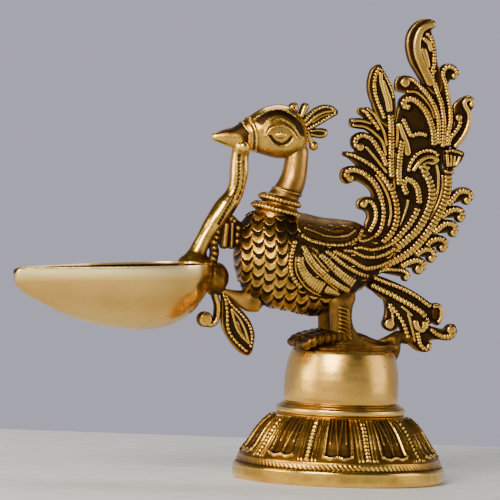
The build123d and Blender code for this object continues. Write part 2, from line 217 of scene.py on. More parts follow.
def roughen(tree, shader, value, span, roughness):
    """Let the roughness run from the first to the second as a value runs over its span."""
    stops = [(place, (rough,) * 3) for place, rough in zip(span, roughness)]
    tree.links.new(ramp_of(tree, value, stops), shader.inputs["Roughness"])


def hammer(tree, shader, height, strength, distance):
    """Bump the surface by a height."""
    bump = tree.nodes.new("ShaderNodeBump")
    bump.inputs["Strength"].default_value = strength
    bump.inputs["Distance"].default_value = distance
    tree.links.new(height, bump.inputs["Height"])
    tree.links.new(bump.outputs["Normal"], shader.inputs["Normal"])


def patina_material(name, stops, roughness, strength, grain):
    """Cast brass, dark in its hollows, for patina there and as painted shade, and bright where it's rubbed.
    """
    paint, tree, shader = metal(name)
    wander = math_of(tree, "MULTIPLY_ADD", noise_of(tree, 260, 5.0), 0.36, -0.18, clamp=False)
    height = math_of(tree, "ADD", relief_of(tree), wander)
    stain = noise_ramp(tree, 95, [(0.35, (0.8, 0.68, 0.5)), (0.62, WHITE)])
    color = blend_of(tree, "MULTIPLY", 0.8, ramp_of(tree, height, stops), stain)
    tree.links.new(color, shader.inputs["Base Color"])
    roughen(tree, shader, height, (0.3, 0.8), roughness)
    hammer(tree, shader, noise_of(tree, grain, 6.0), strength, 0.0004)
    return paint


def polished_material(name, low, high, roughness):
    """Worn polished brass: tan and gold clouds, dark hollows for tarnish and painted shade, bright rubbed
    edges and, on the bowl, a painted highlight band under the rim, and a few pits.
    """
    paint, tree, shader = metal(name)
    relief = relief_of(tree)
    # Darker in hollows: tarnish there, and painted shade.
    hollow = ramp_of(tree, relief, [(0.18, DEEP_BROWN), (0.36, (0.42, 0.26, 0.14)), (0.52, WHITE)])
    # Bright gold above 0.66: wear on rubbed edges, and on the bowl the painted highlight under its rim.
    wear_and_highlight = ramp_of(tree, relief, [(0.66, NO_COLOR), (1.0, WHITE)])
    cloud = noise_ramp(tree, 42, [(0.3, low), (0.7, high)])
    color = blend_of(tree, "MULTIPLY", 1.0, cloud, hollow)
    color = blend_of(tree, "MIX", wear_and_highlight, color, (1, 0.82, 0.36))
    cells = tree.nodes.new("ShaderNodeTexVoronoi")
    cells.inputs["Scale"].default_value = 130
    tree.links.new(object_space(tree), cells.inputs["Vector"])
    sparse = math_of(tree, "GREATER_THAN", noise_of(tree, 60), 0.52)
    pit = math_of(tree, "LESS_THAN", cells.outputs["Distance"], 0.07)
    spot = math_of(tree, "MULTIPLY", math_of(tree, "MULTIPLY", pit, sparse), 0.5)
    tree.links.new(blend_of(tree, "MIX", spot, color, DEEP_BROWN), shader.inputs["Base Color"])
    roughen(tree, shader, noise_of(tree, 150), (0.3, 0.7), roughness)
    hammer(tree, shader, noise_of(tree, 320, 5.0), 0.12, 0.0006)
    return paint


DEEP_BROWN, BLACK, UMBER = (0.05, 0.03, 0.015), (0.028, 0.017, 0.008), (0.062, 0.032, 0.009)
BROWN, GOLD, PALE = (0.18, 0.094, 0.018), (0.5, 0.28, 0.045), (0.88, 0.57, 0.12)


def make_materials():
    """Each finish: the record's slot it belongs to, and its material."""
    cast_stops = [(0.16, BLACK), (0.40, UMBER), (0.56, BROWN), (0.74, GOLD), (0.95, PALE)]
    worn_stops = [(0.10, BLACK), (0.30, UMBER), (0.44, BROWN), (0.62, GOLD), (0.85, PALE)]
    # Darker stops for the legs, the clasp, the brace, the foot plate and the boss.
    dark_toned_stops = [(0.16, BLACK), (0.46, UMBER), (0.68, BROWN), (0.98, GOLD)]
    tan_stops = [(0.12, BLACK), (0.34, BROWN), (0.62, (0.42, 0.23, 0.05)), (0.90, (0.68, 0.41, 0.1))]
    # Each patina: slot, material name, colours, roughness in hollows and on crowns, bump and its grain
    patinas = {
        "cast": ("patinated_brass", "patinated_brass", cast_stops, (0.6, 0.26), 0.25, 900),
        "worn": ("patinated_brass", "patinated_worn", worn_stops, (0.5, 0.22), 0.15, 900),
        "sooty": ("patinated_brass", "patinated_sooty", dark_toned_stops, (0.6, 0.4), 0.5, 500),
        "burnt": ("heat_tinted_brass", "heat_tinted_sooty", dark_toned_stops, (0.55, 0.35), 0.4, 500),
        "tan": ("heat_tinted_brass", "heat_tinted_brass", tan_stops, (0.5, 0.3), 0.35, 500),
        "stalk": ("heat_tinted_brass", "heat_tinted_worn", worn_stops, (0.45, 0.2), 0.2, 500),
        "bell": ("polished_brass", "polished_bell", worn_stops, (0.5, 0.2), 0.15, 900),
    }
    # Each polish: material name, darker and lighter clouds, lowest and highest roughness
    polishes = {
        "polished": ("polished_brass", (0.64, 0.36, 0.07), (0.88, 0.55, 0.13), (0.22, 0.36)),
        "bowl": ("polished_bowl", (0.62, 0.36, 0.09), (0.8, 0.52, 0.15), (0.16, 0.3)),
    }
    found = {finish: (slot, patina_material(*look)) for finish, (slot, *look) in patinas.items()}
    for finish, look in polishes.items():
        found[finish] = ("polished_brass", polished_material(*look))
    return found


# ---- Meshes from distance fields ---------------------------------------------------------

def spline(points, step=0.15):
    """Evenly spaced points along a smooth curve through the given ones, and their lengths."""
    p = np.asarray(points, float)
    p = np.vstack([2 * p[0] - p[1], p, 2 * p[-1] - p[-2]])
    t = np.linspace(0, 1, 12, endpoint=False)[:, None]
    spans = []
    for a, b, c, d in zip(p[:-3], p[1:-2], p[2:-1], p[3:]):
        bend = (2 * a - 5 * b + 4 * c - d) * t ** 2 + (3 * b - a - 3 * c + d) * t ** 3
        spans.append(0.5 * (2 * b + (c - a) * t + bend))
    line = np.vstack(spans + [p[-2:-1]])
    length = np.concatenate([[0], np.cumsum(np.linalg.norm(np.diff(line, axis=0), axis=1))])
    at = np.linspace(0, length[-1], max(int(length[-1] / step), 2) + 1)
    return np.stack([np.interp(at, length, column) for column in line.T], axis=1), at


class Block:
    """A box of points around one piece, on which its solid is a distance, negative inside."""

    def __init__(self, low, high, voxel):
        self.voxel = voxel
        self.low = np.array([low[0] - 3 * voxel, -(round(high[1] / voxel) + 3) * voxel, low[2] - 3 * voxel])
        size = np.array([high[0], high[1], high[2]]) + 3 * voxel - self.low
        nx, ny, nz = (int(round(s / voxel)) + 1 for s in size)
        self.x = (self.low[0] + voxel * np.arange(nx))[:, None, None]
        self.y = (self.low[1] + voxel * np.arange(ny))[None, :, None]
        self.z = (self.low[2] + voxel * np.arange(nz))[None, None, :]

    def distance(self, field):
        """Turn any smooth field into a near distance about its zero surface."""
        slopes = np.gradient(field, self.voxel)
        return field / np.clip(np.sqrt(sum(s * s for s in slopes)), 0.15, 3.0)


def smooth_min(a, b, reach):
    h = np.clip(0.5 + 0.5 * (b - a) / reach, 0, 1)
    return b + (a - b) * h - reach * h * (1 - h)


def ball(block, centre, radii):
    """A distance to an ellipsoid, or to a sphere when radii is one number."""
    rx, ry, rz = np.broadcast_to(radii, 3)
    x, y, z = (block.x - centre[0]) / rx, (block.y - centre[1]) / ry, (block.z - centre[2]) / rz
    return (np.sqrt(x * x + y * y + z * z) - 1) * min(rx, ry, rz)


def rod(block, points, radii, step=0.5):
    """A distance to a round rod through 3-D points, with a radius at each."""
    table = np.column_stack([points, radii])
    line, _ = spline(table, step)
    field = np.full((block.x.size, block.y.size, block.z.size), 50.0)
    for a, b in zip(line[:-1], line[1:]):
        ab = b[:3] - a[:3]
        dx, dy, dz = block.x - a[0], block.y - a[1], block.z - a[2]
        t = np.clip((dx * ab[0] + dy * ab[1] + dz * ab[2]) / max(ab @ ab, 1e-6), 0, 1)
        gap = np.sqrt((dx - t * ab[0]) ** 2 + (dy - t * ab[1]) ** 2 + (dz - t * ab[2]) ** 2)
        field = np.minimum(field, gap - (a[3] + t * (b[3] - a[3])))
    return field


def stations_field(along, across, up, stations):
    """A form with elliptical sections: place along, middle of up, half across, half up."""
    table, _ = spline(stations, 0.3)
    place = np.clip(along, table[0, 0], table[-1, 0])
    middle, half_across, half_up = (np.interp(place, table[:, 0], table[:, k]) for k in (1, 2, 3))
    half_across, half_up = np.maximum(half_across, 0.05), np.maximum(half_up, 0.05)
    size = np.sqrt((across / half_across) ** 2 + ((up - middle) / half_up) ** 2)
    beyond = np.maximum(table[0, 0] - along, 0) + np.maximum(along - table[-1, 0], 0)
    return (size - 1) * np.minimum(half_across, half_up) + beyond


class Relief:
    """Strands drawn on the plane of x and z, and where each one stands above its base.

    With a slant, the drawing is laid on a rounded body as it's seen from the front quarter:
    a point at (x, y, z) takes what is drawn at (x + slant * |y|, z).
    """

    def __init__(self, block, slant=0.0):
        self.block, self.slant = block, slant
        extra = int(slant * np.abs(block.y).max() / block.voxel) + 2 if slant else 0
        self.x = block.low[0] + block.voxel * np.arange(block.x.size + extra)
        self.z = block.z[0, 0, :]
        shape = (self.x.size, self.z.size)
        self.gap, self.floor_gap = np.full(shape, FAR), np.full(shape, FAR)
        self.curve, self.lift, self.crown = np.ones(shape), np.zeros(shape), np.zeros(shape)
        self.half, self.worn = np.ones(shape), np.zeros(shape)

    def lay(self, window, gap, half, lift, cut, worn):
        """Put a shape on the drawing, where it's closer than what is drawn there already."""
        closer = gap < self.gap[window]
        curve = np.minimum(half, 0.9)
        for grid, value in ((self.gap, gap), (self.curve, curve), (self.lift, lift - cut),
                            (self.crown, lift + curve), (self.half, half), (self.worn, worn)):
            grid[window] = np.where(closer, value, grid[window])

    def window(self, low, high):
        """The part of the drawing between two corners."""
        i0, i1 = np.searchsorted(self.x, (low[0], high[0]))
        k0, k1 = np.searchsorted(self.z, (low[1], high[1]))
        return slice(i0, i1), slice(k0, k1)

    def knob(self, centre, size, lift, worn=1.0):
        """A round knob, domed in three steps."""
        for share in (0.4, 0.7, 1):
            window = self.window((centre[0] - 5, centre[1] - 5), (centre[0] + 5, centre[1] + 5))
            away = np.hypot(self.x[window[0], None] - centre[0], self.z[None, window[1]] - centre[1])
            self.lay(window, away - size * share, size * share, lift + 0.8 * size * (1 - share), 0.0, worn)

    def strand(self, points, half=1.0, tip=None, notch=0.0, pitch=1.4, lift=1.7, power=4, dull=0.0,
               knob=0.0):
        """A ribbon with a rounded top, notched across into beads or ribs; it may start with a knob."""
        line, length = spline(points)
        reach = 3.0 + max(half, tip or half)
        window = self.window(line.min(0) - reach, line.max(0) + reach)
        x, z = self.x[window[0]], self.z[window[1]]
        away, at = np.full((x.size, z.size), FAR), np.zeros((x.size, z.size), int)
        for n, (cx, cz) in enumerate(line):
            i0, i1 = np.searchsorted(x, (cx - reach, cx + reach))
            k0, k1 = np.searchsorted(z, (cz - reach, cz + reach))
            gap = np.hypot(x[i0:i1, None] - cx, z[None, k0:k1] - cz)
            closer = gap < away[i0:i1, k0:k1]
            away[i0:i1, k0:k1] = np.where(closer, gap, away[i0:i1, k0:k1])
            at[i0:i1, k0:k1] = np.where(closer, n, at[i0:i1, k0:k1])
        taper = np.linspace(half, half if tip is None else tip, len(length))
        count = max(round(length[-1] / pitch), 1)
        cut = np.abs(np.mod(length / length[-1] * count, 1.0) * 2 - 1) ** power
        size = taper * (1 - 0.2 * min(notch, 1.0) * cut)
        # Darker in each notch between beads: patina there, and painted shade.
        worn = 1.0 - dull - 0.8 * min(2 * notch, 1.0) * cut
        self.lay(window, away - size[at], size[at], lift, notch * cut[at], worn[at])
        if knob:
            self.knob(points[0], knob, lift, 1.0 - dull)

    def ground(self, outline):
        """The plate behind the strands: the inside of a closed outline."""
        corners, _ = spline(outline + outline[:1], 0.8)
        x, z = self.x[:, None], self.z[None, :]
        far, inside = np.full(self.gap.shape, FAR), np.zeros(self.gap.shape, bool)
        for (ax, az), (bx, bz) in zip(corners[:-1], corners[1:]):
            run, rise = bx - ax, bz - az
            share = ((x - ax) * run + (z - az) * rise) / max(run ** 2 + rise ** 2, 1e-9)
            share = np.clip(share, 0, 1)
            far = np.minimum(far, np.hypot(x - ax - share * run, z - az - share * rise))
            if rise:
                crossed = (az > z) != (bz > z)
                inside ^= crossed & (x < ax + (z - az) * run / rise)
        self.floor_gap = np.minimum(self.floor_gap, np.where(inside, -far, far))

    def spread(self, grid):
        """A drawn grid over the whole block."""
        if not self.slant:
            return grid[:, None, :]
        nx = self.block.x.size
        out = np.empty((nx, self.block.y.size, self.z.size), np.float32)
        for j, y in enumerate(self.block.y[0, :, 0]):
            move = self.slant * abs(y) / self.block.voxel
            whole = int(move)
            part = move - whole
            out[:, j] = grid[whole:whole + nx] * (1 - part) + grid[whole + 1:whole + 1 + nx] * part
        return out

    def over(self, base):
        """The strands laid on a base, which is a distance to the surface that they follow."""
        gap, curve, lift = (self.spread(g) for g in (self.gap, self.curve, self.lift))
        return np.sqrt(np.maximum(gap + curve, 0) ** 2 + np.maximum(base - lift, 0) ** 2) - curve

    def web(self, base, margin, thickness, corner=0.4):
        """The sheet behind the strands: inside the ground, or less than a margin beyond a strand."""
        side = self.spread(np.minimum(self.gap - margin, self.floor_gap)) + corner
        top = base - thickness + corner
        inner = np.minimum(np.maximum(side, top), 0)
        return np.sqrt(np.maximum(side, 0) ** 2 + np.maximum(top, 0) ** 2) + inner - corner

    def cell(self, points):
        """The drawing's cell at each point."""
        i = np.rint((points[:, 0] + self.slant * np.abs(points[:, 1]) - self.x[0]) / self.block.voxel)
        k = np.rint((points[:, 2] - self.z[0]) / self.block.voxel)
        return np.clip(i.astype(int), 0, self.x.size - 1), np.clip(k.astype(int), 0, self.z.size - 1)

    def level(self, points, height, span=1.0, hollow=0.34):
        """How rubbed each point is: 1 on a strand's crown, less in its notches and down its sides, which
        stand for patina and also paint the shade in the notches and the dark reflection on the flanks.
        """
        at = self.cell(points)
        side = np.clip(1 + self.gap[at] / self.half[at], 0, 1.3)
        drop = np.maximum(self.crown[at] - height, 0) / span
        worn = self.worn[at] - 0.40 * side ** 2 - 0.45 * drop
        return np.clip(np.where(self.gap[at] < 0.35, worn, hollow), 0, 1)

    def drawn(self, points, soft=0.4):
        """1 on a strand and 0 off it."""
        at = self.cell(points)
        return np.clip(0.5 - self.gap[at] / soft, 0, 1) * np.clip(self.worn[at], 0, 1)

    def inside(self, points, soft=1.0):
        """1 inside the ground and 0 outside it."""
        return np.clip(0.5 - self.floor_gap[self.cell(points)] / soft, 0, 1)


def new_mesh(name, points, quads):
    mesh = bpy.data.meshes.new(name)
    mesh.vertices.add(len(points))
    mesh.vertices.foreach_set("co", np.ascontiguousarray(points * MM, np.float32).ravel())
    mesh.loops.add(quads.size)
    mesh.loops.foreach_set("vertex_index", np.ascontiguousarray(quads, np.int32).ravel())
    mesh.polygons.add(len(quads))
    mesh.polygons.foreach_set("loop_start", np.arange(0, quads.size, 4, dtype=np.int32))
    mesh.polygons.foreach_set("use_smooth", np.ones(len(quads), bool))
    mesh.update(calc_edges=True)
    mesh.validate()
    return mesh


def mark_relief(mesh, points, quads, rounds, depth, level):
    """Store how rubbed each point is, from 0 in a hollow to 1 on an edge.

    The given level is raised or lowered by how far the point stands out of the surface around it, so hollows
    turn dark both for their patina and as painted shade.
    """
    a = quads.ravel()
    b = np.roll(quads, -1, axis=1).ravel()
    count = np.bincount(np.concatenate([a, b]), minlength=len(points))[:, None]
    soft = points.copy()
    for _ in range(rounds):
        total = np.empty_like(soft)
        for k in range(3):
            total[:, k] = np.bincount(a, soft[b, k], len(points)) + np.bincount(b, soft[a, k], len(points))
        soft = total / np.maximum(count, 1)
    normals = np.empty(len(points) * 3, np.float32)
    mesh.vertices.foreach_get("normal", normals)
    stand = np.sum((points - soft) * normals.reshape(-1, 3), axis=1)
    layer = mesh.attributes.new("relief", "FLOAT", "POINT")
    # Hollows turn darker for their patina and as painted shade; standing edges turn brighter for wear.
    rubbed = level + 0.45 * np.clip(stand / depth, -1, 1)
    layer.data.foreach_set("value", np.clip(rubbed, 0, 1).astype(np.float32))


def add_piece(name, node, points, quads, finish, reach=1.0, depth=0.3, spacing=FINE, level=0.6):
    """Make a mesh piece that stands for a CAD node; level is how rubbed it is, a number or one per point."""
    mesh = new_mesh(name, points, quads)
    mark_relief(mesh, points, quads, max(int((reach / spacing) ** 2), 1), depth, level)
    place_piece(name, node, mesh, finish)


def place_piece(name, node, mesh, finish):
    """Put a mesh in the scene in a CAD node's place, with a finish."""
    slot, paint = finishes[finish]
    mesh.materials.append(paint)
    piece = bpy.data.objects.new(name, mesh)
    scene.collection.objects.link(piece)
    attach(piece, "root")
    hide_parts(node)


def surface(block, field):
    """The points and faces of a field's zero surface."""
    grid = openvdb.FloatGrid(3.0)
    grid.copyFromArray(np.clip(field, -3, 3).astype(np.float32))
    points, quads = grid.convertToQuads(0.0)
    return points * block.voxel + block.low, quads.astype(np.int64)


def rubbing(points, level, soot=()):
    """The colour level of each point: a number, or a function of the points, lowered around given dark
    spots.

    Each dark place is an (x, z, radius, amount) as seen from the camera.
    """
    worn = level(points) if callable(level) else np.full(len(points), level)
    seen = points[:, 0] + VIEW_SLANT * np.abs(points[:, 1])
    # Each spot only darkens the colour around it; most sit where parts meet or under a part.
    for x, z, radius, amount in soot:
        worn = worn - amount * np.exp(-((seen - x) ** 2 + (points[:, 2] - z) ** 2) / radius ** 2)
    return worn


def cast(node, block, field, finish="cast", reach=1.0, depth=0.3, level=0.6, soot=()):
    """Make the piece for a node from a field over a block."""
    points, quads = surface(block, field)
    worn = rubbing(points, level, soot)
    add_piece(node + "_cast", node, points, quads, finish, reach, depth, block.voxel, worn)


def cast_pair(left, right, block, field, finish="cast", reach=1.0, depth=0.3, level=0.6):
    """Make the -Y half of a field as the left piece, and its mirror image as the right."""
    points, quads = surface(block, np.maximum(field, block.y))
    worn = rubbing(points, level)
    add_piece(left, left, points, quads, finish, reach, depth, block.voxel, worn)
    add_piece(right, right, points * (1, -1, 1), quads[:, ::-1], finish, reach, depth, block.voxel, worn)


def flat_field(block, relief, margin, thickness):
    """A flat casting, alike on both faces: a relief's strands on a plate."""
    flat = np.abs(block.y)
    return np.minimum(relief.over(flat), relief.web(flat, margin, thickness))


def cast_flat(node, block, relief, margin, thickness, finish="cast", span=1.0, edge=0.0):
    """Make a flat casting; edge is how rubbed the rim of its plate is."""
    def level(points):
        height = np.abs(points[:, 1])
        rim = height < thickness - 0.25
        return np.maximum(relief.level(points, height, span), edge * rim)

    cast(node, block, flat_field(block, relief, margin, thickness), finish, level=level)


def sampled(block, grid, points):
    """A block's value at the voxel nearest to each point."""
    at = np.rint((points - block.low) / block.voxel).astype(int)
    at = np.clip(at, 0, np.array(grid.shape) - 1)
    return grid[at[:, 0], at[:, 1], at[:, 2]]


# ---- Pedestal ----------------------------------------------------------------------------

PETALS = 10
PETAL_TURN = math.radians(-106.7)
PANEL_LOW, PANEL_HIGH = 8.4, 22.4
STRIP_HALF, BEAD_PITCH = 0.85, 1.15
ROPE_HEIGHT, ROPE_TWISTS = 6.5, 66


def turned(node, line, finish, steps, step, dress=None, waver=0.0, level=0.6):
    """Revolve a closed (r, z) line; dress gives its raised detail and waver its hand-worked waves."""
    angle = np.linspace(0, 2 * math.pi, steps, endpoint=False)
    along = np.roll(line, -1, 0) - np.roll(line, 1, 0)
    size = np.maximum(np.linalg.norm(along, axis=1), 1e-6)[:, None]
    out = np.stack([along[:, 1], -along[:, 0]], 1) / size
    raised = np.zeros((steps, len(line))) if dress is None else dress(angle[:, None], line[None, :, :])
    if waver:
        raised = raised + waver * (np.sin(2 * angle + 1)[:, None] + 0.5 * np.sin(5 * angle)[:, None]
                                   * np.sin(line[None, :, 1] / 4.0))
    r = line[None, :, 0] + raised * out[None, :, 0]
    z = line[None, :, 1] + raised * out[None, :, 1]
    points = np.stack([r * np.cos(angle)[:, None], r * np.sin(angle)[:, None], z], 2).reshape(-1, 3)
    i, j = np.meshgrid(np.arange(steps), np.arange(len(line)), indexing="ij")
    here, there = i * len(line), (i + 1) % steps * len(line)
    up = (j + 1) % len(line)
    quads = np.stack([here + j, there + j, there + up, here + up], 2).reshape(-1, 4)
    worn = level(line[None, :, 1], raised).ravel() if callable(level) else level
    add_piece(node + "_cast", node, points, quads, finish, spacing=step, level=worn)


def closed_profile(points, step):
    """A closed line through (r, z) points, straight between them, at an even spacing."""
    p = np.asarray(points + points[:1], float)
    length = np.concatenate([[0], np.cumsum(np.linalg.norm(np.diff(p, axis=0), axis=1))])
    at = np.linspace(0, length[-1], int(length[-1] / step), endpoint=False)
    return np.stack([np.interp(at, length, p[:, 0]), np.interp(at, length, p[:, 1])], 1)


def ridge(distance, width, height):
    return height * np.exp(-(distance / width) ** 2)


def petal_height(z, u, half):
    """One petal's panel, u away from its middle line, and the beaded strip at half beside it."""
    strip = half - u
    bead = 0.25 + 0.75 * np.cos(math.pi * z / BEAD_PITCH) ** 2
    domed = 0.75 * np.sqrt(np.clip(1 - (strip / STRIP_HALF) ** 2, 0, 1)) * bead
    height = np.where(strip < STRIP_HALF, domed, 0)
    height = height + ridge(strip - 1.9, 0.28, 0.55) + ridge(strip - 3.1, 0.25, 0.4)
    edge = 0.47 * half
    floor_line = 9.6 + 0.5 * np.cos(math.pi * u / np.maximum(edge, 1)) ** 2
    inside = (u < edge) & (z > floor_line)
    height = height + ridge(u - edge, 0.33, 0.7) * (z > floor_line)
    height = height + ridge(z - floor_line, 0.33, 0.75) * (u < edge + 0.3)
    height = height + ridge(u - 0.62 * edge, 0.22, 0.35) * (z > 14.5) + ridge(z - 7.9, 0.3, 0.5) * (u < 1.6)
    tongue = np.clip((z - 12.0) / 9.0, 0, 1) * 1.1
    return height + np.where(inside, -0.35 + ridge(u - tongue, 0.25, 0.35), 0)


def lotus_dress(angle, line):
    """Petal panels, beaded strips and the rope line, as heights on the bell's outer face."""
    r, z = line[..., 0], line[..., 1]
    inner_face = 39.2 - 0.86 * z - 3.2
    outside = 1 / (1 + np.exp(-(r - inner_face) * 3))
    sector = 2 * math.pi / PETALS
    turn = np.mod(angle - PETAL_TURN + sector / 2, sector) - sector / 2
    bell = np.clip((z - PANEL_LOW) / 0.6, 0, 1) * np.clip((PANEL_HIGH - z) / 0.8, 0, 1)
    height = petal_height(z, np.abs(turn) * r, sector / 2 * r) * bell
    twist = 0.2 + 0.8 * np.cos(angle * ROPE_TWISTS + z * 1.5) ** 2
    rope = 0.55 * np.sqrt(np.clip(1 - (z - ROPE_HEIGHT) ** 2, 0, 1)) * twist
    worn = 0.6 + 0.4 * np.sin(angle * 3 + 1)
    return np.where(np.abs(z - ROPE_HEIGHT) < 1.0, rope * worn, height) * outside


def petal_level(z, raised):
    """The petals' ridges are rubbed bright, their panels are brown, and the foot band is bright."""
    chased = (z > 5.4) & (z < 22.6)
    return np.where(chased, 0.54 + 0.62 * np.clip(raised, -0.22, 0.6), 0.70)


def make_pedestal():
    """The bell-shaped base, the ring on it and the drum, each as an (r, z) profile."""
    bell = [(33.2, 0), (35.6, 0), (36.4, 0.6), (36.6, 1.6), (36.6, 4.6), (36.2, 5.3), (35.3, 5.6),
            (35, 6.5), (34.9, 7.4), (34.9, 7.9), (34.5, 8.4), (33, 10.4), (31.4, 12.6), (29.7, 15.4),
            (28.2, 17.6), (26.4, 19.7), (24.4, 21.4), (22.3, 22.8), (12, 22.8), (12, 20.6), (20.6, 20.4),
            (24.4, 17.6), (27.6, 13.2), (31.2, 8.4), (33.2, 4)]
    turned("lotus_base", closed_profile(bell, 0.28), "bell", 760, 0.28, lotus_dress, level=petal_level)
    ring = [(12, 23), (21.6, 22.9), (22.1, 23.3), (22.3, 24), (22.2, 24.8), (21.7, 25.4), (20.9, 25.7),
            (20.6, 26.1), (20.2, 26.5), (12, 26.6)]
    turned("collar_ring", closed_profile(ring, 0.3), "polished", 360, 0.4, waver=0.08)
    barrel = [(9.6, 21.2), (12, 21.2), (12, 26.6), (19.2, 26.6), (19.3, 27.2), (19.65, 28.6), (19.75, 31),
              (19.65, 35), (19.3, 38), (18.9, 40.2), (18.3, 42.6), (17.8, 44), (17.3, 44.7), (16.5, 45),
              (2.5, 45), (2.5, 42.6), (15.2, 42.6), (15.2, 29), (9.6, 29)]
    turned("drum", closed_profile(barrel, 0.5), "polished", 360, 0.5, waver=0.07)


# ---- The bird ----------------------------------------------------------------------------

# Along the body: x, middle height, half width, half height
BODY = [(-39.5, 77, 0, 0), (-38.7, 77, 4.6, 4.4), (-37, 77, 7.6, 9.8), (-35.5, 77.1, 9.6, 12.6),
        (-33, 76.8, 11.4, 14.8), (-28, 76, 13.3, 16.5), (-20, 74.8, 14.3, 16.9), (-10, 73.2, 13.3, 16.4),
        (-2, 75, 10.8, 14), (3, 76.4, 8, 11.8), (7, 76.8, 5.2, 9.2), (10.5, 77.4, 3.4, 6.4),
        (14, 78.6, 2.4, 4.2), (18, 80.2, 1.4, 2.4), (20, 81, 0, 0)]
SCALE_WIDTH, SCALE_PITCH, SCALE_DROP = 4.2, 3.8, 1.6


def scale_height(block):
    """Round-ended scales laid like roof tiles, each free at its lower edge above a dark crescent."""
    girth = block.x + VIEW_SLANT * np.abs(block.y) + 0.5 * np.sin(block.z / 4.3)
    drop = 96.0 - block.z + 0.12 * girth + 0.35 * np.sin(girth / 3.1)
    u = 2 * (np.mod(girth / SCALE_WIDTH, 1.0) - 0.5)
    column = np.floor(girth / SCALE_WIDTH)
    stagger = SCALE_PITCH / 2 * np.mod(column, 2.0) + 0.35 * np.sin(column * 2.4)
    q = np.mod(drop + SCALE_DROP * u ** 2 + stagger, SCALE_PITCH)
    crescent = 1.35 * (1 - np.abs(u) ** 2.6)
    rise = np.clip((q - crescent) / (SCALE_PITCH - crescent), 0, 1)
    return np.where(q < crescent, 0.0, (0.45 + 0.55 * rise) * (1 - 0.2 * u ** 2))


# The wing's feathers, from the front back: half width, half width at the tip, notch, pitch and line
WING = [
    (0.92, 0.85, 0.5, 1.25, [(-18.4, 82.4), (-19.1, 80), (-19.8, 76.4), (-19.8, 73), (-19.2, 70.5),
     (-17.6, 68), (-15.8, 66)]),
    (0.28, 0.28, 0.0, 2.0, [(-18.1, 76.8), (-18.1, 73.4), (-17, 70), (-14.8, 67.2), (-12.2, 65.2),
     (-9, 63.8)]),
    (1.2, 2.4, 0.3, 1.0, [(-16.4, 77), (-16.4, 74.6), (-15.2, 71.8), (-13.2, 69.4), (-10.8, 67.6),
     (-8.2, 66.2)]),
    (1.8, 0.7, 0.3, 1.0, [(-7.4, 66), (-5.4, 65.2), (-3.6, 64.6), (-2, 64)]),
    (0.42, 0.36, 0.0, 2.0, [(-15.3, 78.2), (-14, 75.6), (-12, 73.1), (-10, 71.3), (-7, 68.9), (-4.5, 66.9),
     (-2.8, 65.6)]),
    (1.0, 1.25, 0.35, 1.0, [(-15.8, 80.8), (-14.2, 78.4), (-12.4, 75.8), (-10.5, 73.6), (-8.5, 71.8),
     (-6.4, 70), (-4.3, 68.4), (-2, 67), (1.4, 65.2)]),
    (0.3, 0.3, 0.0, 2.0, [(-12.4, 78.4), (-10.8, 76.6), (-8.8, 74.3), (-6.6, 72.2)]),
    (0.36, 0.36, 0.0, 2.0, [(-12.3, 80), (-10.5, 78.8), (-9, 77.4)]),
    (1.15, 1.9, 0.38, 1.0, [(-9.6, 77.9), (-7.2, 75.8), (-4.8, 73.6), (-2.4, 71.6), (0.4, 69.6), (3, 67.9)]),
    (0.95, 0.85, 0.4, 1.1, [(-7.5, 79.1), (-5.5, 78), (-4, 76.8), (-2.2, 75.4), (0, 74), (2.5, 72.6),
     (5.2, 71.4), (8.4, 70.4)]),
    (1.0, 1.0, 0.4, 1.0, [(-4.8, 79.2), (-3, 78.4), (-1, 77.5), (1, 76.5), (3, 75.4), (5.2, 74.1),
     (7.4, 73.3), (10, 73.6), (13, 74.4), (16.4, 76)]),
    (0.6, 1.0, 0.35, 1.1, [(-1.2, 79.5), (1.5, 79.3), (3.5, 78.7), (5.4, 77.7), (8, 77.2), (11, 77.4),
     (14, 78.4), (17.4, 80.4)]),
    (0.6, 1.0, 0.35, 1.1, [(2.6, 80.2), (4.6, 80.6), (6.6, 80.2), (9, 79.8), (12, 80.4), (15, 81.6),
     (18, 84)]),
    (0.45, 0.5, 0.25, 1.1, [(5.4, 86.6), (5, 84.6), (4.4, 83.2), (6.2, 82.8), (9, 84), (11, 86)]),
]
WING_GROUND = [(-19.6, 83.4), (-20.8, 79), (-21, 73.6), (-20, 69.4), (-17, 65.4), (-11, 63), (-4, 62.6),
               (2, 63.8), (5.6, 66.6), (9.6, 69.4), (14, 72), (16, 80), (12, 86), (6.6, 88.6), (5.6, 84),
               (2, 81.4), (-4, 80.2), (-10, 80.6), (-15, 82.8)]


def make_body():
    """The scaled body, then the wings and the saddle that lie on it."""
    block = Block((-40, -15, 57), (21, 15, 93), SMOOTH)
    base = block.distance(stations_field(block.x, block.y, block.z, BODY))
    height = scale_height(block)

    def scale_level(points):
        raised = sampled(block, height, points)
        # The crescents under the scales' free edges are set dark: patina there, and painted shade under each
        # edge.
        return np.where(raised > 0.3, 0.33 + 0.45 * raised, 0.1)

    dark = [(-20, 88, 5, 0.6), (-38, 82, 3, 0.3), (-39, 88, 4, 0.4), (-37, 90, 4, 0.3), (-33, 60, 5, 0.5),
            (-22, 84, 3, 0.2)]
    cast("body", block, base - 0.85 * height, reach=1.2, depth=0.5, level=scale_level, soot=dark)
    make_wings(block, base)
    make_saddle(block, base)


def make_wings(block, base):
    """Ribbed and beaded feathers on both flanks."""
    wings = Relief(block, VIEW_SLANT)
    wings.ground(WING_GROUND)
    for half, tip, notch, pitch, points in WING:
        wings.strand(points, half, tip, notch, pitch, lift=0.7)
    field = np.minimum(wings.over(base), wings.web(base, 0.3, 0.75))
    cast_pair("left_wing", "right_wing", block, np.maximum(field, -base - 1.2), reach=0.8,
              level=lambda points: wings.level(points, sampled(block, base, points), 1.3, 0.28))


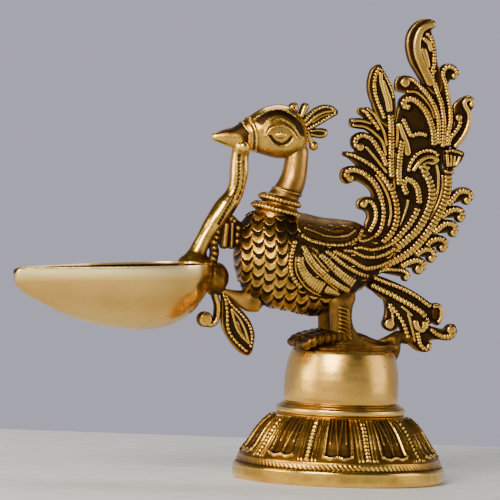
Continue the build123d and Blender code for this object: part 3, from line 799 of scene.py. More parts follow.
def make_saddle(block, base):
    """The covert feathers on the back, edged with a beaded ridge."""
    back = Relief(block, VIEW_SLANT)
    back.ground([(-18, 86), (-14.6, 83.2), (-8, 81.2), (-1, 81.2), (4, 83.6), (6, 88), (0, 92), (-10, 92),
                 (-18, 91)])
    back.strand([(-16.5, 84.3), (-14.5, 83.3), (-12, 82.3), (-8, 81.5), (-5, 81.3), (-2, 81.3), (0, 81.7),
                 (1.5, 82.3), (3, 83.2), (4.5, 84.5), (5.4, 87)], 0.68, notch=0.45, pitch=1.3, lift=0.9)
    back.strand([(-15.4, 86.8), (-13, 86), (-10, 85), (-8, 84.3), (-5, 84), (-2, 84.1), (0.6, 84.8),
                 (3, 86.4)], 0.28, lift=1.0)
    back.strand([(-9.6, 87), (-8, 86.3), (-5, 85.8), (-1.4, 86)], 0.35, lift=0.6)
    for x, z in ((-13.5, 87.4), (-6, 87.6), (-3.6, 87.2), (-1.2, 87.6), (1, 87.2)):
        back.strand([(x - 0.6, z + 0.2), (x, z), (x + 0.7, z + 0.1)], 0.35, lift=0.5)
    field = np.minimum(back.over(base), back.web(base, 0.5, 0.8))
    cast("back_saddle", block, np.maximum(field, -base - 1.2), reach=0.8,
         level=lambda points: back.level(points, sampled(block, base, points), 1.5, 0.52))


# How far each leg stands to the side, and its shank from the foot up: height, middle, half widths
LEG_SIDE = 7.5
SHANK = [(46.5, 0.4, 3, 11), (48.4, -0.4, 3, 8.2), (50.2, -1.6, 2.9, 5.8), (52.4, -2.6, 2.8, 4.4),
         (56, -3.3, 2.9, 3.9), (60, -3.6, 3, 4.4), (62.5, -3.8, 2.8, 5.4), (64.8, -4, 1.6, 5.6)]


def make_legs():
    """Two legs with raised arcs across their shanks."""
    block = Block((-12, -12, 46), (13, 12, 66), SMOOTH)
    shank = block.distance(stations_field(block.z, block.y + LEG_SIDE, block.x, SHANK))
    arcs = Relief(block, VIEW_SLANT)
    for step in range(7):
        z = 50.4 + 1.35 * step
        arcs.strand([(-1.6, z + 1.2), (-0.2, z + 1.0), (1.2, z + 0.2), (2.6 - 0.15 * step, z - 1.2)], 0.42,
                    lift=0.1)
    field = np.minimum(shank, arcs.over(shank))
    cast_pair("left_leg", "right_leg", block, np.maximum(field, -shank - 1.5), "sooty", 1.0, 0.3, level=0.6)


def make_foot_plate():
    """The plate on the drum, with three toes and a heel spur under each leg."""
    block = Block((-19, -14, 44.9), (20, 14, 51), SMOOTH)
    plate = np.sqrt(((block.x - 0.5) / 17.0) ** 2 + (block.y / 11.0) ** 2) - 1
    field = np.maximum(plate * 9.0, block.z - 47.0)
    for side in (-LEG_SIDE, LEG_SIDE):
        for spread in (-2.8, 0, 2.8):
            toe = rod(block, [(-3, side, 49.6), (-8, side + 0.6 * spread, 49.2), (-13, side + spread, 48.2),
                              (-15.6, side * 0.9 + spread, 46.8)], [2.6, 2.2, 1.9, 1.7], 2.0)
            knuckle = 0.12 * np.cos(2 * math.pi * block.x / 2.2)
            field = smooth_min(field, toe - knuckle, 1.2)
        heel = rod(block, [(-1, side, 49.0), (4, side * 0.96, 48.6), (9, side * 0.75, 47.4),
                           (18, side * 0.4, 46.2)], [3.0, 2.4, 1.8, 0.9], 2.0)
        field = smooth_min(field, heel, 1.2)
    cast("foot_plate", block, np.maximum(field, 45.0 - block.z), "burnt", 1.2, 0.35, level=0.44)


# Up the neck: z, middle x, half width, half depth. Along the head and the beak: as for the body
NECK = [(85, -27.2, 8.8, 9), (89, -26.6, 7.8, 8.2), (92.4, -25.6, 6.8, 7.2), (95.6, -24.3, 5.8, 6.2),
        (98, -22.9, 5.3, 5.9), (100, -21.5, 4.9, 5.3), (103, -20.2, 4.4, 4.7), (106, -19.5, 4.1, 4.3),
        (110, -19.1, 3.9, 4.1), (113, -19, 3.6, 4), (115, -19, 2.6, 3)]
HEAD = [(-39, 117.8, 3.2, 4.4), (-36, 118.2, 4.9, 6.2), (-33, 119, 5.9, 7.4), (-30, 119.3, 6.5, 8.5),
        (-26, 119.3, 6.9, 9.3), (-22, 119.1, 6.6, 8.8), (-19, 118.7, 5.4, 7.2), (-17, 118, 3.9, 5.2),
        (-15.6, 117.4, 2, 2.6), (-15.1, 117.3, 0, 0)]
BEAK = [(-49.5, 116.6, 0, 0), (-49, 116.6, 0.9, 1.1), (-47, 116.6, 1.6, 1.9), (-44.5, 116.6, 2.3, 2.9),
        (-42, 116.6, 2.9, 3.6), (-39.5, 117.2, 3.6, 4.5), (-37, 117.9, 4.2, 5.4)]


def make_neck():
    block = Block((-37, -9.5, 85), (-14, 9.5, 116), SMOOTH)
    neck = block.distance(stations_field(block.z, block.y, block.x, NECK))
    lip = np.sqrt((neck - 0.1) ** 2 + (block.z - 98.4 + 0.26 * (block.x + 21)) ** 2) - 0.45
    soot = [(-17, 100, 3, 0.2), (-20, 98, 2.5, 0.3)]
    cast("neck", block, smooth_min(neck, lip, 0.3), "tan", level=0.66, soot=soot)


def make_neck_rings():
    """Two tilted collars, each with a row of beads around it."""
    block = Block((-37, -9.5, 85), (-14, 9.5, 116), SMOOTH)
    tilt = math.radians(13.1)
    rings = [("neck_ring_upper", (-24.5, 95.7), 7.2, 1.5, 34),
             ("neck_ring_lower", (-25.7, 92.4), 8.5, 1.6, 40)]
    for name, centre, radius, thick, beads in rings:
        dx, dz = block.x - centre[0], block.z - centre[1]
        rise = dz * math.cos(tilt) + dx * math.sin(tilt)
        level = dx * math.cos(tilt) - dz * math.sin(tilt)
        out = np.sqrt(level ** 2 + block.y ** 2)
        turn = np.arctan2(block.y, level)
        torus = np.sqrt((out - radius + thick) ** 2 + rise ** 2) - thick
        cut = np.abs(np.mod(turn * beads / (2 * math.pi), 1.0) * 2 - 1) ** 3
        row = np.sqrt((out - radius + 0.25) ** 2 + (rise + 0.2) ** 2) - 0.85 + 0.35 * cut
        cast(name, block, np.minimum(torus, row), depth=0.25, level=0.55)


def make_head():
    """The head with its brow lines, its dark eye sockets and a shaded throat."""
    block = Block((-40, -8.5, 108.5), (-14, 8.5, 130), FINE)
    head = block.distance(stations_field(block.x, block.y, block.z, HEAD))
    lines = Relief(block, VIEW_SLANT)
    lines.strand([(-30.8, 117.4), (-30.1, 120), (-28.4, 122.4), (-26, 123.6), (-23.6, 123.3),
                  (-21.2, 121.6), (-19.3, 119.4), (-18, 117.4)], 0.28, lift=0.25)
    lines.strand([(-34.6, 123.4), (-32.2, 124.9), (-29.2, 126.4), (-25.6, 126.9), (-22.6, 126.2),
                  (-20, 124.6)], 0.30, lift=0.3)
    lines.strand([(-36.6, 123.4), (-35.2, 121.8), (-34.2, 120), (-33.6, 118), (-33.4, 115.6),
                  (-33.6, 112.6)], 0.42, lift=0.4)
    socket = Relief(block, VIEW_SLANT)
    socket.strand([(-28.8, 117.4), (-27.2, 115.8), (-24.8, 115), (-22.6, 115.9), (-21.2, 117.6)], 0.65, 0.5,
                  lift=-0.3)
    socket.ground([(-34.4, 122.6), (-32.2, 121), (-31.2, 121.4), (-29.6, 123.4), (-26.6, 124.6),
                   (-23.4, 124.2), (-20.6, 122), (-18.4, 118.8), (-16.4, 117.8), (-17.6, 122),
                   (-20.6, 124.8), (-25.2, 126.6), (-29.8, 126)])
    shadow = Relief(block, VIEW_SLANT)
    shadow.strand([(-30, 118.6), (-28.3, 120.9), (-26, 122.2), (-23.4, 121.9), (-21, 120.2), (-19.4, 118)],
                  0.28)
    shadow.strand([(-35.6, 121), (-34.9, 119.4), (-34.4, 117.4), (-34.4, 113.4)], 0.3)
    shadow.ground([(-33.6, 113.2), (-30, 112.4), (-26, 111.6), (-22, 112.2), (-18.8, 114), (-17.6, 110),
                   (-26, 107), (-34, 109)])
    trough = socket.over(np.abs(head + 0.6))
    field = np.maximum(np.minimum(head, lines.over(head)), -trough)

    def head_level(points):
        dark = 0.62 * socket.inside(points, 0.9) + 0.55 * socket.drawn(points) + 0.4 * shadow.drawn(points)
        return np.clip(0.72 - dark - 0.30 * shadow.inside(points, 2.0) + 0.3 * lines.drawn(points), 0, 1)

    cast("head", block, field, "worn", 1.0, 0.35, head_level)
    make_eyes(block, head)


def make_eyes(block, head):
    """Almond eyeballs between raised lids on the head's sides."""
    lids = Relief(block, VIEW_SLANT)
    lids.strand([(-30.2, 117.6), (-28.7, 119.9), (-26.6, 121.1), (-24.4, 121.4), (-22.4, 120.6),
                 (-20.6, 118.9), (-19.2, 117)], 0.42, lift=0.35)
    lids.strand([(-29.4, 117.2), (-27.4, 114.8), (-24.8, 113.9), (-22.2, 114.7), (-20.2, 117)], 0.3,
                lift=0.1)
    eyeball = ball(block, (-26.6, -5, 118), (2.9, 2.5, 1.7))
    eyeball = np.minimum(eyeball, ball(block, (-26.7, -6.9, 118.4), 0.85))
    eye = np.minimum(eyeball, np.maximum(lids.over(head), -head - 0.8))
    cast_pair("left_eye", "right_eye", block, eye, "worn", 0.8, 0.35, level=0.62)


def make_beak():
    """The beak with its mouth line, and the raised seam where it meets the head."""
    block = Block((-51, -6, 110), (-34, 6, 124), FINE)
    beak = block.distance(stations_field(block.x, block.y, block.z, BEAK))
    beak = np.maximum(beak, block.x + 34.8)
    mouth = Relief(block)
    mouth.strand([(-50, 115.9), (-46.5, 115.3), (-42, 114.9), (-39, 114.7)], 0.25, lift=-0.2)
    seam = Relief(block, VIEW_SLANT)
    seam.strand([(-38.7, 121.8), (-37.2, 120), (-35.9, 118.4), (-35.3, 116.4), (-35.4, 113.2)], 0.42,
                lift=0.45)
    field = np.maximum(np.minimum(beak, seam.over(beak)), -mouth.over(np.abs(beak + 0.3)))
    dark_top = Relief(block)
    dark_top.ground([(-48.6, 118.2), (-44, 117.8), (-40.6, 117.4), (-37.8, 114.2), (-36, 114.6),
                     (-36.4, 119.6), (-38.2, 122.4), (-43, 121)])
    cast("beak", block, field, "worn", 1.0, 0.3,
         lambda points: 0.64 - 0.42 * dark_top.inside(points, 1.2) + 0.4 * seam.drawn(points))


def make_crest():
    """The crown's two bumps, its leaf, its small lobe and the ball under it."""
    block = Block((-23.5, -3, 112), (-4, 3, 131), FINE)
    relief = Relief(block)
    relief.ground([(-5, 126.4), (-6.4, 128.2), (-9.4, 129), (-13.2, 128), (-16, 125.6), (-18.2, 122.6),
                   (-16.4, 119.6), (-13, 121.4), (-9, 123.6)])
    relief.ground([(-15.4, 118.6), (-12, 120.8), (-9, 120.7), (-8.2, 119.2), (-10, 117.4), (-14, 117.8)])
    relief.strand([(-5.8, 126.8), (-7.6, 128), (-10.2, 128.2), (-13, 127), (-15.4, 124.8), (-17.4, 122.4)],
                  0.5, notch=0.4, pitch=0.95, lift=0.9)
    relief.strand([(-5.8, 126.4), (-8.6, 124.7), (-11.8, 122.7), (-15.8, 120.4)], 0.55, notch=0.4,
                  pitch=1.1, lift=0.9)
    relief.strand([(-7, 127), (-10, 126.5), (-13, 124.8), (-16.2, 121.8)], 0.5, lift=0.9)
    relief.strand([(-8, 126), (-11, 124.8), (-14, 122.8)], 0.28, lift=0.8)
    relief.strand([(-20, 127), (-20.4, 128.4), (-21.6, 128), (-21.4, 127)], 0.62, lift=0.9)
    relief.strand([(-16.8, 128), (-17.4, 126.6), (-18.2, 124.6)], 1.1, 0.7, lift=0.9)
    relief.strand([(-14.4, 119.8), (-11.8, 120.2), (-9.4, 119.8), (-9.2, 118.9), (-11.2, 118.3),
                   (-14, 118.6)], 0.32, lift=0.9)
    relief.strand([(-15.6, 119.6), (-14.6, 117.2), (-13.6, 115)], 0.45, lift=0.6)

    def level(points):
        on_ball = points[:, 2] < 116.6
        return np.maximum(relief.level(points, np.abs(points[:, 1])), 0.55 * on_ball)

    field = np.minimum(flat_field(block, relief, 0.35, 0.9), ball(block, (-13.2, 0, 114.7), 1.7))
    cast("crest", block, field, level=level)


# ---- The bowl and what carries it --------------------------------------------------------

# Along the bowl: x, half width, rim height, lowest point. Then its wall and its rims' rounding
BOWL = [(-116.6, 0, 67.2, 66.4), (-116.45, 1.9, 68.5, 65.2), (-115.6, 3.4, 69.5, 63.9),
        (-113.6, 4.9, 70.1, 62), (-110, 6.5, 70.4, 59.8), (-105, 8.8, 70.7, 57.4), (-98, 12.2, 71.1, 54.4),
        (-90, 15.8, 71.5, 52), (-82, 18.4, 71.9, 50.6), (-74, 20, 72.3, 50), (-67, 20.1, 72.6, 50.4),
        (-61, 18.8, 72.9, 52.2), (-56, 16.2, 73.1, 55.2), (-52, 12.2, 73.2, 59.4), (-49.6, 7.6, 73.3, 63.6),
        (-48.7, 3.6, 73.3, 66.6), (-48.5, 0, 73.3, 68)]
BOWL_WALL, RIM_ROUND = 1.5, 0.55


def bowl_shell(table):
    """The bowl's outer face, thickened inwards to its wall, with rounded rims."""
    turn = np.linspace(-math.pi / 2, math.pi / 2, 73)
    x = np.broadcast_to(table[:, 0:1], (len(table), turn.size))
    half, rim, low = table[:, 1:2], table[:, 2:3], table[:, 3:4]
    y = half * np.sin(turn)
    z = rim - (rim - low) * np.cos(turn)
    points = np.stack([x, y, z], 2).reshape(-1, 3)
    i, j = np.meshgrid(np.arange(len(table) - 1), np.arange(turn.size - 1), indexing="ij")
    first = i * turn.size + j
    quads = np.stack([first, first + 1, first + turn.size + 1, first + turn.size], 2).reshape(-1, 4)
    mesh = new_mesh("bowl_face", points, quads)
    shell = bpy.data.objects.new("bowl_face", mesh)
    scene.collection.objects.link(shell)
    wall = shell.modifiers.new("wall", "SOLIDIFY")
    wall.thickness = BOWL_WALL * MM
    wall.offset = -1
    rim_round = shell.modifiers.new("rim", "BEVEL")
    rim_round.width = RIM_ROUND * MM
    rim_round.segments = 3
    rim_round.angle_limit = math.radians(50)
    solid = bpy.data.meshes.new_from_object(shell.evaluated_get(bpy.context.evaluated_depsgraph_get()))
    bpy.data.objects.remove(shell)
    solid.name = "oil_bowl_cast"
    solid.polygons.foreach_set("use_smooth", np.ones(len(solid.polygons), bool))
    return solid


def make_bowl():
    """The bowl: brown inside, and brighter outside in a band below its rim, a painted highlight for the
    light falling from above.
    """
    table, _ = spline(BOWL, 0.6)
    solid = bowl_shell(table)
    layer = solid.attributes.new("relief", "FLOAT", "POINT")
    spots = np.empty(len(solid.vertices) * 3, np.float32)
    solid.vertices.foreach_get("co", spots)
    spots = spots.reshape(-1, 3) / MM
    half_at, rim_at, low_at = (np.interp(spots[:, 0], table[:, 0], table[:, k]) for k in (1, 2, 3))
    depth = np.maximum(rim_at - low_at, 0.5)
    size = np.hypot(spots[:, 1] / np.maximum(half_at, 0.5), (rim_at - spots[:, 2]) / depth)
    inside = (size * depth < depth - 0.75) & (spots[:, 2] < rim_at - 0.3)
    # Painted highlight: brighter outside towards the rim, for the light falling from above.
    wear_and_highlight = 0.6 + 0.4 * np.clip(1.2 - (rim_at - spots[:, 2]) / 4.5, 0, 1)
    layer.data.foreach_set("value", np.where(inside, 0.2, wear_and_highlight).astype(np.float32))
    place_piece("oil_bowl_cast", "oil_bowl", solid, "bowl")


def make_stalk():
    """The pitted stem from the bowl's rear rim up into the beak."""
    block = Block((-61, -6, 72), (-34, 6, 118), SMOOTH)
    line = [(-54, 0, 73.8), (-53.2, 0, 76.4), (-51.6, 0, 80), (-49.2, 0, 84.4), (-46.6, 0, 88.6),
            (-43.6, 0, 93), (-41.2, 0, 96.4), (-39.9, 0, 100), (-39.3, 0, 105), (-39.2, 0, 109.6),
            (-38.8, 0, 113.4), (-38.4, 0, 116.4)]
    field = rod(block, line, [3.9, 3.1, 2.8, 3.0, 3.4, 3.6, 3.1, 2.95, 3.3, 3.1, 2.9, 2.4], 1.5)
    foot = ball(block, (-53.4, 0, 73.2), (6.2, 6, 2.4))
    field = np.maximum(smooth_min(field, foot, 2.5), 72.6 - block.z)
    lumps = np.sin(block.x * 0.9 + 1) * np.sin(block.y * 0.9 + 0.5) * np.sin(block.z * 0.45)
    field = field + 0.10 * lumps
    tongue = ball(block, (-38.6, 0, 113.6), (3.2, 4.5, 3))
    field = smooth_min(field, tongue, 0.8)
    pits = Relief(block, VIEW_SLANT)
    pits.strand([(-39.4, 110.8), (-39.2, 105), (-39.6, 100), (-41.2, 95.6), (-43.6, 91.2), (-46, 86.6)],
                0.5, notch=0.45, pitch=1.3)
    pits.strand([(-38, 109), (-37.8, 104), (-38.2, 99), (-39.8, 95)], 0.3, notch=0.45, pitch=2.1)
    pitted = np.clip(0.5 - pits.spread(pits.gap) / 0.5, 0, 1) * np.clip(pits.spread(pits.worn), 0, 1)
    soot = [(-50, 75, 3, 0.4), (-56, 74, 2.4, 0.3), (-37, 97, 1.6, 0.3), (-42, 88, 2, 0.3),
            (-38, 111.4, 2, 0.2), (-46, 82, 2.4, 0.4)]
    cast("stalk", block, field + 0.35 * pitted, "stalk", 1.2, 0.35,
         lambda points: 0.70 - 0.42 * pits.drawn(points, 0.8), soot)


def make_clasp():
    """The block and beaded strands between the stalk and the breast."""
    block = Block((-50, -4.5, 71), (-35, 4.5, 90), FINE)
    relief = Relief(block)
    relief.strand([(-43.4, 86.6), (-43.6, 83), (-43.8, 79.8)], 0.9, lift=1.7)
    relief.strand([(-41.4, 87), (-41.4, 83), (-41.4, 79.4)], 0.5, lift=1.9)
    relief.strand([(-39, 86.8), (-39.2, 83), (-39.2, 80)], 1.0, notch=0.7, pitch=2.2, power=2, lift=1.4)
    relief.strand([(-36.8, 86.6), (-36.8, 83.6), (-36.6, 81)], 0.8, notch=0.7, pitch=2.0, power=2, lift=1.4)
    relief.strand([(-44.6, 88.6), (-45.9, 86.2), (-46.4, 84), (-46.8, 81.8), (-47.5, 79.6), (-47, 77.4),
                   (-47.4, 74.6), (-47.6, 72)], 0.9, notch=0.7, pitch=2.0, power=2, lift=1.5)
    relief.strand([(-43.6, 89.8), (-41.6, 88.8), (-40.2, 87.6)], 0.8, notch=0.5, pitch=1.6, power=2,
                  lift=1.4)
    cast_flat("stalk_clasp", block, relief, 0.5, 1.9, "sooty", 2.4)


# Along the strut from the boss to the breast: x, middle height, half width, half height
STRUT = [(-45.4, 64, 1, 0.6), (-43, 63.8, 1.7, 1.1), (-40.6, 62.9, 2.1, 1.7), (-37.6, 61.6, 2.7, 2.8),
         (-34.6, 61, 3.3, 3.9), (-31, 61.6, 3.8, 4.6)]


def make_boss_and_strut():
    """The knob behind the bowl, and the tapered bar from it to the breast."""
    block = Block((-52, -6, 61), (-40, 6, 75), SMOOTH)
    lump = ball(block, (-46.4, 0, 68.5), (4.7, 4.6, 5.4))
    neckdown = ball(block, (-46.4, 0, 64.4), (3, 2.6, 2.2))
    rough = 0.12 * np.sin(block.x * 1.7 + block.z) * np.sin(block.y * 1.3 + 1) * np.sin(block.z * 1.1)
    cast("bowl_boss", block, smooth_min(lump, neckdown, 1.2) - rough, "burnt", 1.2, 0.4, 0.62,
         [(-50.5, 68, 2, 0.4), (-46, 63, 2, 0.3)])

    block = Block((-46, -5, 55), (-28, 5, 67), SMOOTH)
    strut = block.distance(stations_field(block.x, block.y, block.z, STRUT))
    cast("breast_strut", block, strut, "tan", 1.2, 0.4, 0.6, [(-32.6, 61, 2.4, 0.4), (-42, 62, 1.6, 0.2)])


def make_pendants():
    """The leaf and the scroll that hang below the boss."""
    block = Block((-46.5, -3, 40.5), (-30.5, 3, 66), FINE)
    relief = Relief(block)
    relief.ground([(-44.5, 64.6), (-44, 60), (-43.8, 53), (-42.8, 50.4), (-41, 47.4), (-38.8, 44.8),
                   (-36.4, 42.8), (-34.2, 42), (-32.6, 43), (-32, 46.4), (-31.8, 49.6), (-33.2, 53.4),
                   (-35.2, 56.2), (-38, 59.2), (-41.6, 63.8)])
    relief.strand([(-44, 64.4), (-43.2, 62.4), (-42.5, 60.2), (-42, 57), (-41.8, 54), (-41.4, 51.2),
                   (-40.2, 48.8), (-38.2, 46.6), (-36, 44.7), (-34.2, 43.4)], 0.7, 0.6, 0.5, 1.4, lift=1.0)
    relief.strand([(-42.8, 62.8), (-40.6, 59.6), (-38, 57.2), (-35.6, 54.8), (-33.9, 52.4), (-33, 49.8),
                   (-32.8, 47.2), (-33.2, 44.8)], 0.55, 0.5, 0.5, 1.2, lift=1.0)
    relief.strand([(-34.3, 46.8), (-36.4, 48.6), (-38.3, 51.2), (-39.4, 54.2), (-40.4, 57.6)], 0.42,
                  lift=1.0)
    relief.strand([(-40.2, 57.8), (-37.6, 54.8), (-35.9, 51.9), (-34.8, 49.2), (-34, 46.4)], 0.42, lift=1.0)
    relief.strand([(-38.2, 53.6), (-37.2, 50.9), (-35.4, 48.4)], 0.3, lift=0.9)
    cast_flat("leaf_pendant", block, relief, 0.3, 1.0)

    block = Block((-53, -3.2, 50), (-43, 3.2, 66), FINE)
    curl = Relief(block)
    curl.strand([(-49.6, 54.2), (-49, 53), (-47.4, 52.6), (-45.8, 53.8), (-45.3, 56.4), (-45.4, 59.6),
                 (-46.4, 62.6), (-47, 65.4)], 0.75, lift=1.4, knob=2.3)
    cast_flat("scroll_pendant", block, curl, 0.4, 1.3, span=2.2)


# ---- The tail ----------------------------------------------------------------------------

# The ways a strand is chased; a strand in the table below may change any of these
STYLES = {
    "main": dict(half=1.5, notch=0.45, pitch=1.4),
    "beads": dict(half=1.2, notch=0.45, pitch=1.35),
    "fine": dict(half=0.78, notch=0.45, pitch=1.1),
    "ribs": dict(half=1.2, notch=0.38, pitch=1.1),
    "plain": dict(half=0.6, lift=1.4, dull=0.25),
    "bright": dict(half=0.6, lift=1.4),
    "curl": dict(half=1.1, notch=0.35, pitch=1.15, knob=1.35),
}

